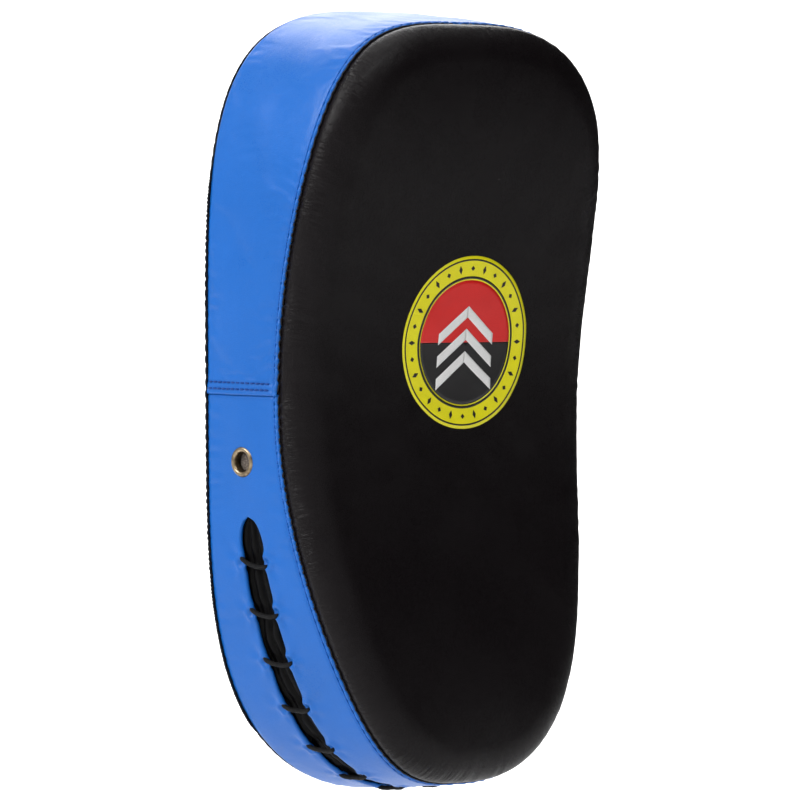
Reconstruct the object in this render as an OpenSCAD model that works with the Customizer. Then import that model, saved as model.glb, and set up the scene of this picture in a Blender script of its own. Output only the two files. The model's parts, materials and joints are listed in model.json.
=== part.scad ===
// Curved Thai kick pad. A laced leather casing holds three layers of foam.
// The striking face looks towards -Y; the arm straps and the handle are on the +Y side.
// Origin: centre of the forearm cushion's face. +Z runs towards the hand end. Millimetres.

/* [Body] */
// Height of the body
body_h = 400; // [380:5:420]
// Width of the body
body_w = 204; // [196:2:212]
// Width of the gusset halfway up the body
waist_t = 51; // [48:1:58]
// Extra gusset width near the two ends
end_gain = 26; // [20:1:30]
// Height of the striking face above its seam
crown = 17; // [14:1:20]
// Distance over which the striking face rounds down to its seam
face_round = 20; // [16:1:24]
// Narrowing towards the elbow end, as a share of the width
taper = 0.04; // [0:0.01:0.06]

/* [Casing] */
// Leather thickness
cover_t = 1.5; // [1.2:0.1:1.8]
// Width of the laced slit
slit_w = 14; // [12:1:16]
// Lace diameter
lace_d = 2.6; // [2:0.2:2.8]
// Hole diameter of the vent eyelets
eyelet_hole = 9; // [8:0.5:10]
// Height of the crest on the striking face
crest_h = 88; // [70:2:100]

/* [Arm side] */
// Thickness of the forearm and knuckle cushions
cushion_t = 9; // [8:1:12]
// Strap width
strap_w = 50; // [40:5:50]
// Height of the strap arch above the rear cover
arch_h = 68; // [60:1:74]
// Half the width of the strap arch
arch_a = 52; // [50:1:54]
// Diameter of the handle grip
grip_d = 28; // [26:1:30]
// Length of the handle grip
grip_l = 84; // [80:2:88]

/* [Hidden] */

$fn = 48;
gap = 0.1;          // clearance between parts that touch
facets = 64;        // points round the body outline
quarter = facets / 4;
half_turn = facets / 2;
draw_x = 1.07;      // rear outline width over front seam width
draw_z = 1.04;      // rear outline height over front seam height
// outline exponents in x and z: each outline is squarer at the hand end
seam_hand_end = [3.2, 3.9];
seam_elbow_end = [2.75, 2.1];
rear_hand_end = [3.0, 4.4];
rear_elbow_end = [2.05, 3.8];
rear_y = -cushion_t;     // outer face of the rear cover
rear_crown = 4;     // height of the rear cover above the body's widest outline
rear_round = 8;     // distance over which the rear cover rounds down
lip = 0.8;          // depth of the rear seam in front of the widest outline
body_y = rear_y - rear_crown;
roll = [90, 68, 46, 24, 0];  // angles of the rings that round a cover's rim
foam_in = cover_t + 0.3;     // inset of the foam from the casing's outside
board_d = 8;        // depth of the rear board's front face
core_in = 6;        // depth of the joint between core and strike foam below the seam

strap_t = 1.8;      // webbing thickness
tape_t = 0.8;       // hook and loop tape thickness
tab_t = 1.6;        // ring tab webbing thickness
wire_r = 2;         // ring wire radius
fold_r = 5.1;       // middle radius of the strap's turn round the ring
ring_rise = 16;     // distance between the ring's two long bars
strap_z = [10, -90];     // heights of the two straps
anchor_x = 79;      // outer end of the sewn strap feet
foot_y = rear_y + gap + strap_t / 2;
fillet_r = 7;       // bend where the strap leaves the rear cover
arch_y = foot_y + fillet_r;
arch_b = arch_h - fillet_r - strap_t;
meet = 10;          // arch angle where the strap reaches the ring
bar_top = [arch_a * cos(meet) + fold_r, arch_y + arch_b * sin(meet)];
bar_low_y = rear_y + gap + tab_t + 0.4 + wire_r;
bar_low = [bar_top.x + sqrt(pow(ring_rise, 2) - pow(bar_top.y - bar_low_y, 2)), bar_low_y];
tail_root = [bar_top.x + fold_r, bar_top.y + strap_t];
loop_off = strap_t / 2 + 0.2 + tape_t / 2;
hook_off = loop_off + tape_t + 0.15;
tail_off = hook_off + tape_t / 2 + 0.05 + strap_t / 2;

handle_z = 118;     // height of the handle
foot_r = 6.5;       // radius of the handle core
swing_y = rear_y + 0.3 + foot_r;
saddle_t = 2;       // saddle leather thickness
saddle_in = 66;     // inner and outer ends of the saddles
saddle_out = 81;
finger_room = 24;   // space between the knuckle cushion and the grip
handle_rise = grip_d / 2 + finger_room - swing_y;
bend_r = (saddle_in - grip_l / 2) / 2;  // middle radius of the handle core's bends
rivet_z = 19;       // distance of the rivets from the handle's axis
rivet_r = 1.5;

crest_z = 31;       // height of the crest's centre
crest_x = 9.5;        // sideways place of the crest's centre
crest_ratio = 0.92; // crest width over height
film_t = 0.4;
slit_reach = 12.85; // half length of the slit, in outline steps
last_crossing = 6.5;  // the lace crosses at half steps from -6.5 to 6.5 about the elbow end
hole_off = slit_w / 2 + 4;
eyelet_i = 17.5;    // outline step of the right vent eyelet
flange_r = eyelet_hole / 2 + 3.5;

// ---- body surface ----

function mix(a, b, u) = a + (b - a) * u;
function unit(v) = v / norm(v);

// Point i of an outline with half width a and half height b. Point 0 is at the hand end.
function outline(i, a, b, hand_end, elbow_end, narrowing) =
    let (s = cos(360 * i / facets), side = i <= half_turn ? 1 : -1)
    let (e = s > 0 ? hand_end : elbow_end)
    [side * a * pow(max(0, 1 - pow(abs(s), e.y)), 1 / e.x) * (1 + narrowing * s), b * s];

function rear_outline(i, inset) =
    outline(i, body_w / 2 - inset, body_h / 2 - inset,
        rear_hand_end, rear_elbow_end, taper / 2);
function seam_outline(i, inset) =
    outline(i, body_w / 2 / draw_x - inset, body_h / 2 / draw_z - inset,
        seam_hand_end, seam_elbow_end, taper);

// Depth of the front seam at height z: shallow at the waist, deeper near the ends
function seam_depth(z) =
    let (s = z * 2 * draw_z / body_h)
    waist_t + end_gain * (2.6 * s * s - 1.6 * pow(s, 4));

// Point on the gusset surface at share f of the way from the rear outline to the front seam
function wall_step(i, inset, f) =
    let (r = rear_outline(i, inset), s = seam_outline(i, inset), p = mix(r, s, f))
    [p.x, body_y - f * seam_depth(s.y), p.y];
function wall(i, inset, f) =
    mix(wall_step(floor(i), inset, f), wall_step(ceil(i), inset, f), i - floor(i));
function depth_at(i) = seam_depth(seam_outline(i, 0).y);

function wall_ring(inset, depth) =
    [for (i = [0:facets - 1]) wall_step(i, inset, depth / depth_at(i))];
function wall_ring_below_seam(inset, below) =
    [for (i = [0:facets - 1]) wall_step(i, inset, 1 - below / depth_at(i))];
function face_ring(t, angle) =
    [for (i = [0:facets - 1])
        let (p = seam_outline(i, t + (face_round - t) * (1 - cos(angle))))
        [p.x, body_y - seam_depth(p.y) - (crown - t) * sin(angle), p.y]];
function rear_ring(t, angle) =
    [for (i = [0:facets - 1])
        let (p = rear_outline(i, t + (rear_round - t) * (1 - cos(angle))))
        [p.x, body_y + (rear_crown - t) * sin(angle), p.y]];
function face_rings(t) = [for (a = roll) face_ring(t, a)];
function rear_rings(t) = [for (a = roll) rear_ring(t, a)];
function reversed(v) = [for (k = [len(v) - 1:-1:0]) v[k]];

// ---- surface builders ----

function band_faces(n, m) =
    [for (j = [0:m - 2], i = [0:n - 1])
        let (k = (i + 1) % n, a = j * n + i, b = j * n + k)
        each [[a, a + n, b + n], [a, b + n, b]]];
// Closes a ring whose points i and n - i lie level with each other
function ladder(n, first) =
    [for (i = [0:n / 2 - 1]) each concat(
        i < n / 2 - 1 ? [first + [i, i + 1, n - i - 1]] : [],
        i > 0 ? [first + [i, n - i - 1, n - i]] : [])];
function flipped(faces) = [for (f = faces) [f[2], f[1], f[0]]];

// Solid through a list of body rings, from front to back
module body_loft(rings) {
    n = len(rings[0]);
    m = len(rings);
    polyhedron(
        [for (r = rings) each r],
        concat(band_faces(n, m), ladder(n, [0, 0, 0]),
            flipped(ladder(n, (m - 1) * n * [1, 1, 1]))));
}

// Solid through a list of small closed sections
module sweep(sections) {
    n = len(sections[0]);
    m = len(sections);
    polyhedron(
        [for (s = sections) each s],
        concat(band_faces(n, m), [[for (i = [0:n - 1]) i]],
            [[for (i = [n - 1:-1:0]) (m - 1) * n + i]]));
}

// Strip of the gusset between two insets, with its edges given in millimetres from its middle
module wall_strip(steps, outer, inner, reach) {
    sweep([for (i = steps)
        let (f = reach(i) / depth_at(i))
        [wall(i, outer, 0.5 - f), wall(i, outer, 0.5 + f),
         wall(i, inner, 0.5 + f), wall(i, inner, 0.5 - f)]]);
}

function wall_normal(i) =
    let (a = wall(floor(i), 0, 0.5), b = wall(floor(i) + 1, 0, 0.5))
    unit(cross(wall(i, 0, 1) - wall(i, 0, 0), b - a));

// Moves a shape's +Z onto the outward normal of the gusset's middle line
module on_wall(i) {
    n = wall_normal(i);
    translate(wall(i, 0, 0.5)) rotate([0, acos(n.z), atan2(n.y, n.x)]) children();
}

// ---- casing ----

module strike_cover() {
    color("#1b1a1c") body_loft(concat(face_rings(0), reversed(face_rings(cover_t))));
}

module gusset_half(first) {
    rear = lip;
    sweep([for (i = [first:first + half_turn])
        let (k = (i + facets) % facets)
        let (r = rear / depth_at(k), s = 1 - gap / depth_at(k))
        [wall_step(k, 0, r), wall_step(k, 0, s),
         wall_step(k, cover_t, s), wall_step(k, cover_t, r)]]);
}

module upper_gusset() {
    color("#2f76d6") gusset_half(-quarter);
}

module slit() {
    steps = [for (k = [-26:26]) half_turn + slit_reach * sin(k * 90 / 26)];
    wall_strip(steps, -5, 5, function(i)
        max(0.4, slit_w / 2 * sqrt(max(0, 1 - pow(abs(i - half_turn) / slit_reach, 16)))));
}

// Outline step of crossing k; the crossings lie evenly along the slit
function crossing_step(k) = half_turn + k * (1.82 + 0.089 * abs(k) - 0.0141 * k * k);
function hole_point(k, side, height) =
    let (i = crossing_step(k))
    wall(i, 0, 0.5 + side * hole_off / depth_at(i)) + height * wall_normal(i);

module lace_holes() {
    for (k = [-last_crossing:last_crossing], side = [-1, 1]) {
        n = wall_normal(crossing_step(k));
        translate(hole_point(k, side, -3)) rotate([0, acos(n.z), atan2(n.y, n.x)])
            cylinder(r = lace_d / 2 + 0.5, h = 6, $fn = 24);
    }
}

module both_eyelets() {
    on_wall(eyelet_i) children();
    on_wall(facets - eyelet_i) children();
}

module lower_gusset() {
    color("#2f76d6") difference() {
        gusset_half(quarter);
        slit();
        lace_holes();
        both_eyelets() translate([0, 0, -4]) cylinder(r = eyelet_hole / 2 + 1, h = 8);
    }
}

module rear_cover() {
    color("#1b1a1c") difference() {
        body_loft(reversed(concat(
            rear_rings(0), [wall_ring(0, lip - gap)],
            [wall_ring(cover_t, lip - gap)], reversed(rear_rings(cover_t)))));
        rivet_places() translate([0, 0, -4]) cylinder(r = rivet_r + 0.1, h = 8, $fn = 24);
    }
}

// ---- crest ----

function face_y(z) = body_y - seam_depth(z) - crown;

module crest_print() {
    rows = [for (k = [-12:12]) crest_z + crest_h / 2 * k / 12];
    color("#e6d414") intersection() {
        translate([crest_x, 0, crest_z]) rotate([90, 0, 0]) scale([crest_ratio, 1, 1])
            cylinder(r = crest_h / 2, h = 400, $fn = 72);
        translate([-body_w / 2, 0, 0]) rotate([90, 0, 90]) linear_extrude(body_w)
            polygon(concat(
                [for (z = rows) [face_y(z) - 0.25, z]],
                [for (z = reversed(rows)) [face_y(z) - 0.25 - film_t, z]]));
    }
}

// ---- foam ----

module strike_foam() {
    color("#e8e6df") body_loft(concat(
        face_rings(foam_in), [wall_ring_below_seam(foam_in, core_in - gap)]));
}

module core_foam() {
    wide = [for (k = [-28:28]) half_turn + k / 2];
    color("#3b3f45") difference() {
        body_loft([wall_ring_below_seam(foam_in, core_in), wall_ring(foam_in, board_d + gap)]);
        wall_strip(wide, -1, 6.4, function(i) hole_off + 6);
        both_eyelets() translate([0, 0, -12]) cylinder(r = flange_r + 1, h = 12);
    }
}

module rear_board() {
    color("#8c9096") difference() {
        body_loft(reversed(concat(rear_rings(foam_in), [wall_ring(foam_in, board_d)])));
        rivet_places() translate([0, 0, -6]) cylinder(r = 5, h = 6, $fn = 32);
    }
}

// ---- laced closure ----

module closure_flap() {
    steps = [for (k = [-27:27]) half_turn + k / 2];
    color("#161616") wall_strip(steps, 4.9, 5.9, function(i) hole_off + 4);
}

// One crossing of the lace, then its hidden run to the next crossing on the same side
function lace_loop(k) =
    let (over = lace_d / 2 + 0.3, under = -cover_t - lace_d / 2 - 0.5)
    let (side = (k - 0.5) % 2 == 0 ? 1 : -1)
    concat(
        [hole_point(k, -side, under), hole_point(k, -side, over),
         hole_point(k, side, over), hole_point(k, side, under)],
        k < last_crossing ? [hole_point(k + 0.5, side, under)] : []);

// Sections of a round cord along a path, carried from point to point without twisting
function cord(path, r, n) =
    let (last = len(path) - 1)
    let (dirs = [for (k = [0:last - 1]) unit(path[k + 1] - path[k])])
    let (tangents = [for (k = [0:last])
        k == 0 ? dirs[0] : k == last ? dirs[last - 1] : unit(dirs[k - 1] + dirs[k])])
    let (stretch = [for (k = [0:last])
        k == 0 || k == last ? 1 : 1 / max(0.6, tangents[k] * dirs[k])])
    let (seed = unit(cross(tangents[0], [0.3, 1, 0.2])))
    let (sides = [for (k = 0, u = seed; k <= last;
        k = k + 1, u = unit(u - (u * tangents[min(k, last)]) * tangents[min(k, last)])) u])
    [for (k = [0:last])
        let (u = unit(sides[k] - (sides[k] * tangents[k]) * tangents[k]))
        let (v = cross(tangents[k], u))
        let (bend = k == 0 || k == last ? [0, 0, 0] : dirs[k] - dirs[k - 1])
        let (out = norm(bend) < 0.01 ? [0, 0, 0] : unit(bend))
        [for (a = [0:n - 1])
            let (d = r * (cos(360 * a / n) * u + sin(360 * a / n) * v))
            path[k] + d + (d * out) * (stretch[k] - 1) * out]];

module closure_lace() {
    path = [for (k = [-last_crossing:last_crossing]) each lace_loop(k)];
    color("#141414") sweep(cord(path, lace_d / 2, 10));
}

// ---- vent eyelets ----

module eyelet() {
    bore = eyelet_hole / 2;
    rotate_extrude($fn = 64) polygon([
        [bore, -4.2], [bore + 0.7, -4.2], [bore + 0.7, 0.25], [flange_r, 0.25],
        [flange_r, 0.6], [flange_r - 0.5, 1.1], [bore + 1.6, 1.35], [bore + 0.5, 1.1],
        [bore, 0.5]]);
}

module washer() {
    translate([0, 0, -cover_t - 1.1]) difference() {
        cylinder(r = flange_r - 0.3, h = 0.8, $fn = 64);
        translate([0, 0, -1]) cylinder(r = eyelet_hole / 2 + 0.8, h = 3, $fn = 64);
    }
}

module vent_eyelets() { color("#9a7b4f") both_eyelets() eyelet(); }
module vent_washers() { color("#9a7b4f") both_eyelets() washer(); }

// ---- cushions ----

module rounded_slab(w, h, r, y0, y1) {
    translate([0, y1, 0]) rotate([90, 0, 0]) linear_extrude(y1 - y0) union() {
        square([w - 2 * r, h], center = true);
        square([w, h - 2 * r], center = true);
        for (x = [-1, 1], z = [-1, 1])
            translate([x * (w / 2 - r), z * (h / 2 - r)]) circle(r);
    }
}

module cushion_cover(w, h) {
    difference() {
        rounded_slab(w, h, 12, rear_y + gap, 0);
        rounded_slab(w - 2 * cover_t, h - 2 * cover_t, 12 - cover_t, rear_y - 1, -cover_t);
    }
}

module cushion_foam(w, h) {
    t = cover_t + gap;
    rounded_slab(w - 2 * t, h - 2 * t, 12 - t, rear_y + gap, -t);
}

forearm = [88, 190];   // width and length of the forearm cushion
knuckle = [92, 62];   // the same for the knuckle cushion
forearm_z = -44;

module forearm_cushion_cover() {
    color("#1f1e20") translate([0, 0, forearm_z]) cushion_cover(forearm.x, forearm.y);
}
module forearm_cushion_foam() {
    color("#e8e6df") translate([0, 0, forearm_z]) cushion_foam(forearm.x, forearm.y);
}
module knuckle_cushion_cover() {
    color("#1f1e20") translate([0, 0, handle_z]) cushion_cover(knuckle.x, knuckle.y);
}
module knuckle_cushion_foam() {
    color("#e8e6df") translate([0, 0, handle_z]) cushion_foam(knuckle.x, knuckle.y);
}

// ---- straps: every path lies in the XY plane and is extruded over the strap's width ----

function arch_point(angle, off) =
    let (n = unit([cos(angle) / arch_a, sin(angle) / arch_b]))
    [arch_a * cos(angle), arch_y + arch_b * sin(angle)] + off * n;
function arc_points(c, r, a0, a1, n) =
    [for (k = [0:n]) c + r * [cos(mix(a0, a1, k / n)), sin(mix(a0, a1, k / n))]];
function bezier(p, q, r, s, n) =
    [for (k = [0:n]) let (u = k / n, v = 1 - u)
        v * v * v * p + 3 * v * v * u * q + 3 * v * u * u * r + u * u * u * s];

module ribbon(path, t, w) {
    last = len(path) - 1;
    normals = [for (k = [0:last])
        let (d = path[min(k + 1, last)] - path[max(k - 1, 0)]) unit([-d.y, d.x])];
    linear_extrude(w, center = true) polygon(concat(
        [for (k = [0:last]) path[k] + normals[k] * t / 2],
        [for (k = [last:-1:0]) path[k] - normals[k] * t / 2]));
}

module at_strap(k) { translate([0, 0, strap_z[k]]) children(); }

module strap_band() {
    color("#202020") ribbon(concat(
        [[-anchor_x, foot_y]],
        arc_points([-arch_a - fillet_r, arch_y], fillet_r, -90, 0, 6),
        [for (k = [1:26]) arch_point(mix(180, meet, k / 26), 0)],
        arc_points(bar_top, fold_r, 195, 360, 11)), strap_t, strap_w);
}

module loop_patch() {
    color("#2a2a2c") ribbon([for (k = [0:20]) arch_point(mix(38, 150, k / 20), loop_off)],
        tape_t, strap_w - 6);
}

module hook_patch() {
    color("#2a2a2c") ribbon([for (k = [0:14]) arch_point(mix(42, 104, k / 14), hook_off)],
        tape_t, strap_w - 6);
}

module strap_tail() {
    start = arch_point(36, tail_off);
    along = unit(arch_point(37, tail_off) - start);
    tip = arch_point(112, tail_off);
    color("#202020") union() {
        ribbon(concat(
            bezier(tail_root, tail_root + [0, 9], start - 9 * along, start, 8),
            [for (k = [1:20]) arch_point(mix(36, 112, k / 20), tail_off)],
            [tip + [-5, 0.3], tip + [-9, 1.4]]), strap_t, strap_w);
        translate([tail_root.x, tail_root.y, 0])
            cylinder(r = strap_t / 2, h = strap_w, center = true);
    }
}

module strap_patch() {
    h = strap_w + 10;
    color("#1f1e20") translate([-anchor_x - 2, foot_y + strap_t / 2 + gap, -h / 2])
        cube([18, cover_t, h]);
}

module ring_tab() {
    low = rear_y + gap + tab_t / 2;
    high = low + tab_t + gap;
    r = wire_r + 0.4 + tab_t / 2;
    top = bar_low + [0, r];
    color("#202020") ribbon(concat(
        [[anchor_x, low]],
        arc_points(bar_low, r, 270, 105, 11),
        bezier(top, top + [4, 0], [bar_low.x + 5, high], [bar_low.x + 9, high], 6),
        [[anchor_x, high]]), tab_t, strap_w);
}

// Closed wire frame with rounded corners, in the XY plane
module wire_frame(w, h, corner, r) {
    for (x = [-1, 1]) translate([x * w / 2, 0, 0]) rotate([90, 0, 0])
        cylinder(r = r, h = h - 2 * corner, center = true);
    for (y = [-1, 1]) translate([0, y * h / 2, 0]) rotate([0, 90, 0])
        cylinder(r = r, h = w - 2 * corner, center = true);
    for (q = [0:3])
        translate([(q == 0 || q == 3 ? 1 : -1) * (w / 2 - corner),
            (q < 2 ? 1 : -1) * (h / 2 - corner), 0])
            rotate([0, 0, 90 * q]) rotate_extrude(angle = 90)
                translate([corner, 0]) circle(r);
}

module ring() {
    lean = atan2(bar_top.y - bar_low.y, bar_top.x - bar_low.x);
    middle = (bar_top + bar_low) / 2;
    color("#c8ccd0") translate([middle.x, middle.y, 0]) rotate([0, 0, lean])
        rotate([90, 0, 0]) wire_frame(ring_rise, strap_w + 8, 4, wire_r);
}

module upper_strap_band() { at_strap(0) strap_band(); }
module upper_loop_patch() { at_strap(0) loop_patch(); }
module upper_strap_patch() { at_strap(0) strap_patch(); }
module upper_ring_tab() { at_strap(0) ring_tab(); }
module upper_ring() { at_strap(0) ring(); }
module upper_strap_tail() { at_strap(0) strap_tail(); }
module upper_hook_patch() { at_strap(0) hook_patch(); }
module lower_strap_band() { at_strap(1) strap_band(); }
module lower_loop_patch() { at_strap(1) loop_patch(); }
module lower_strap_patch() { at_strap(1) strap_patch(); }
module lower_ring_tab() { at_strap(1) ring_tab(); }
module lower_ring() { at_strap(1) ring(); }
module lower_strap_tail() { at_strap(1) strap_tail(); }
module lower_hook_patch() { at_strap(1) hook_patch(); }

// ---- handle ----

module at_handle() { translate([0, swing_y, handle_z]) children(); }

module rivet_places() {
    for (x = [-1, 1], z = [-1, 1])
        translate([x * (saddle_in + saddle_out) / 2, rear_y, handle_z + z * rivet_z])
            rotate([-90, 0, 0]) children();
}

module handle_saddle(side) {
    w = saddle_out - saddle_in;
    middle = side * (saddle_in + saddle_out) / 2;
    color("#1f1e20") difference() {
        union() {
            at_handle() translate([middle, 0, 0]) rotate([0, 90, 0])
                cylinder(r = foot_r + 0.2 + saddle_t, h = w, center = true);
            translate([middle - w / 2, rear_y + gap, handle_z - 27]) cube([w, saddle_t, 54]);
        }
        at_handle() rotate([0, 90, 0]) cylinder(r = foot_r + 0.05, h = 400, center = true);
        translate([-200, rear_y - 20 + gap, handle_z - 100]) cube([400, 20, 200]);
        translate([-200, rear_y, handle_z - foot_r - 0.05]) cube([400, foot_r, 2 * foot_r + 0.1]);
        rivet_places() translate([0, 0, -1]) cylinder(r = rivet_r + 0.1, h = 8, $fn = 24);
    }
}

module left_handle_saddle() { handle_saddle(-1); }
module right_handle_saddle() { handle_saddle(1); }

module saddle_rivets() {
    top = gap + saddle_t + 0.05;
    color("#b9bdc2") rivet_places() rotate_extrude() polygon([
        [0, -cover_t - 1.4], [rivet_r, -cover_t - 1.4], [rivet_r, top], [4, top],
        [4, top + 0.4], [3.4, top + 1], [2, top + 1.5], [0, top + 1.7]]);
}

module rivet_burrs() {
    color("#b9bdc2") rivet_places() translate([0, 0, -cover_t - 0.9]) difference() {
        cylinder(r = 4, h = 0.8, $fn = 32);
        translate([0, 0, -1]) cylinder(r = rivet_r + 0.05, h = 3, $fn = 24);
    }
}

module handle_core() {
    b = bend_r;
    leg = handle_rise - 2 * b;
    color("#26262a") at_handle() {
        translate([0, handle_rise, 0]) rotate([0, 90, 0])
            cylinder(r = foot_r, h = grip_l, center = true);
        for (side = [0, 1]) mirror([side, 0, 0]) {
            translate([grip_l / 2, handle_rise - b, 0]) quarter_bend(b, 0);
            translate([grip_l / 2 + b, b, 0]) rotate([-90, 0, 0]) cylinder(r = foot_r, h = leg);
            translate([saddle_in, b, 0]) quarter_bend(b, 180);
            translate([saddle_in, 0, 0]) rotate([0, 90, 0])
                cylinder(r = foot_r, h = saddle_out - saddle_in + 1);
        }
    }
}

module quarter_bend(b, turn) {
    rotate([0, 0, turn]) rotate_extrude(angle = 90) translate([b, 0]) circle(foot_r);
}

module handle_grip() {
    color("#1b1a1c") at_handle() translate([0, handle_rise, 0]) rotate([0, 90, 0]) difference() {
        cylinder(r = grip_d / 2, h = grip_l - 8, center = true);
        cylinder(r = foot_r + 0.15, h = grip_l, center = true);
    }
}

module grip_end_bands() {
    color("#2f76d6") at_handle() for (side = [-1, 1])
        translate([side * (grip_l / 2 - 4 + gap + 1.5), handle_rise, 0]) rotate([0, 90, 0])
            difference() {
                cylinder(r = grip_d / 2 - 1, h = 3, center = true);
                cylinder(r = foot_r + 0.6, h = 8, center = true);
            }
}

strike_cover();
upper_gusset();
lower_gusset();
rear_cover();
crest_print();
strike_foam();
core_foam();
rear_board();
closure_flap();
closure_lace();
vent_eyelets();
vent_washers();
forearm_cushion_cover();
forearm_cushion_foam();
knuckle_cushion_cover();
knuckle_cushion_foam();
upper_strap_band();
upper_loop_patch();
upper_strap_patch();
upper_ring_tab();
upper_ring();
upper_strap_tail();
upper_hook_patch();
lower_strap_band();
lower_loop_patch();
lower_strap_patch();
lower_ring_tab();
lower_ring();
lower_strap_tail();
lower_hook_patch();
left_handle_saddle();
right_handle_saddle();
saddle_rivets();
rivet_burrs();
handle_core();
handle_grip();
grip_end_bands();
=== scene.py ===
import json
import math
import random
from contextlib import contextmanager

import bmesh
import bpy
import numpy as np
from mathutils import Matrix, Vector
from mathutils.bvhtree import BVHTree


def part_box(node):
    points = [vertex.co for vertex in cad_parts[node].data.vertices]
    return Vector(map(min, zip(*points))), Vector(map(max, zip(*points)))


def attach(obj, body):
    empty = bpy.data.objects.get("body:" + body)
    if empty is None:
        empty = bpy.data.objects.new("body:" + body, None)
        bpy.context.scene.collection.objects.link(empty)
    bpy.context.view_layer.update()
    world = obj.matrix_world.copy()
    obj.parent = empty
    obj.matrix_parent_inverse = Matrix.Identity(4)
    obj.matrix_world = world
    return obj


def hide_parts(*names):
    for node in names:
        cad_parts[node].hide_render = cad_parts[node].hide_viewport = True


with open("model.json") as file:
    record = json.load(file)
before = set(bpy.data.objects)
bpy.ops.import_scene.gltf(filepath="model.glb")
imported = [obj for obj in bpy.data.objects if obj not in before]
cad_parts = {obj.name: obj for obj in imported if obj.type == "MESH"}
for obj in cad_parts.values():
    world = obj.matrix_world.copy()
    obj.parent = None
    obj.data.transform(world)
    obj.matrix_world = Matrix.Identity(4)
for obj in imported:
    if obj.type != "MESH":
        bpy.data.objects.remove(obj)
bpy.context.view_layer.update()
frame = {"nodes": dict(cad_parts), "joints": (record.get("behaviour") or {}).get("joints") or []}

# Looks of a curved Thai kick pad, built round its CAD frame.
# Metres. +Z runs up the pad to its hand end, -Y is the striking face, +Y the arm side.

random.seed(7)
MM = 0.001
SIDES = ((-1, "left"), (1, "right"))    # sign of x and name


# ---- sizes read from the frame ----

def low_high(node):
    """Lower and upper corner of a CAD node's box, as arrays."""
    low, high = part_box(node)
    return np.array(low), np.array(high)


def joint(name):
    """A joint's pivot point."""
    return np.array(next(j for j in frame["joints"] if j["name"] == name)["pos_m"])


REAR_HIGH = low_high("rear_cover")[1]
FACE_LOW = low_high("strike_cover")[0]
HALF_H = REAR_HIGH[2]                 # half the body's height
HALF_W = HALF_H * 0.51                # half its width, before the taper
REAR_Y = REAR_HIGH[1]                 # outer face of the rear cover
REAR_CROWN = 4 * MM                   # how far the rear cover stands behind the widest outline
BODY_Y = REAR_Y - REAR_CROWN          # plane of the widest outline
DRAW_X, DRAW_Z = 1.07, 1.04           # rear outline over front seam outline
SEAM_W, SEAM_H = HALF_W / DRAW_X, HALF_H / DRAW_Z
SEAM_ENDS = ((3.2, 3.9), (2.75, 2.1))  # front seam's exponents in x and z, hand end and elbow end
REAR_ENDS = ((3.0, 4.4), (2.05, 3.8))  # the same for the widest outline
TAPER = 0.04                          # narrowing of the front seam towards the elbow end
WAIST = 51 * MM                       # gusset width halfway up
END_GAIN = 26 * MM                    # extra gusset width near the ends
CROWN = 17 * MM                       # height of the striking face above its seam
FACE_ROUND = 20 * MM                  # distance over which the face rounds down
REAR_ROUND = 8 * MM                   # the same for the rear cover
LIP = 0.8 * MM                        # how far the rear cover wraps onto the side
GUSSET_T = 1.2 * MM                   # thickness of the side's leather
SEWN_Y = REAR_Y + 0.1 * MM            # underside of what is sewn onto the rear cover


# ---- body surface ----

def outline(turn, a, b, ends, taper):
    """Points of an outline; turn runs from 0 at the hand end round +X, in radians."""
    turn = np.asarray(turn, float)
    s = np.cos(turn)
    hand, elbow = ends
    p = np.where(s > 0, hand[0], elbow[0])
    q = np.where(s > 0, hand[1], elbow[1])
    x = a * np.maximum(0, 1 - np.abs(s) ** q) ** (1 / p) * (1 + taper * s)
    return np.where(np.sin(turn) >= 0, x, -x), b * s


def rear_outline(turn, inset=0.0):
    """The widest outline, just in front of the rear cover."""
    return outline(turn, HALF_W - inset, HALF_H - inset, REAR_ENDS, TAPER / 2)


def seam_outline(turn, inset=0.0):
    """The outline of the seam between the side and the striking face."""
    return outline(turn, SEAM_W - inset, SEAM_H - inset, SEAM_ENDS, TAPER)


def seam_depth(z):
    """How far the front seam lies in front of the widest outline."""
    s = z / SEAM_H
    return WAIST + END_GAIN * (2.6 * s ** 2 - 1.6 * s ** 4)


def wall(turn, share):
    """Points on the side of the body; share is 0 at the widest outline and 1 at the front seam."""
    rx, rz = rear_outline(turn)
    sx, sz = seam_outline(turn)
    x = rx + (sx - rx) * share
    z = rz + (sz - rz) * share
    return np.stack([x, BODY_Y - share * seam_depth(sz), z], -1)


TURNS = np.linspace(0, 2 * math.pi, 40001)
MIDLINE = wall(TURNS, 0.5)
ARC = np.concatenate([[0], np.cumsum(np.linalg.norm(np.diff(MIDLINE, axis=0), axis=1))])
GIRTH = ARC[-1]
SIDE_ARC = np.interp(math.pi / 2, TURNS, ARC)      # distance from the hand end to mid-height
ELBOW_ARC = np.interp(math.pi, TURNS, ARC)


def arc_at(z):
    """Distance along the side, from the hand end round +X, to a height."""
    half = len(TURNS) // 2 + 1
    return np.interp(z, MIDLINE[:half][::-1, 2], ARC[:half][::-1])


def turn_at(arc):
    """Turn angle at a distance along the side's middle line."""
    return np.interp(np.mod(arc, GIRTH), ARC, TURNS)


def unit(v):
    """Vectors at length 1."""
    return v / np.maximum(np.linalg.norm(v, axis=-1, keepdims=True), 1e-12)


def wall_frame(arc):
    """Middle point and outward normal of the side at a distance."""
    step = 1.5 * MM
    turn = turn_at(arc)
    along = wall(turn_at(arc + step), 0.5) - wall(turn_at(arc - step), 0.5)
    forward = wall(turn, 1.0) - wall(turn, 0.0)
    return wall(turn, 0.5), unit(np.cross(unit(forward), unit(along)))


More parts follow.
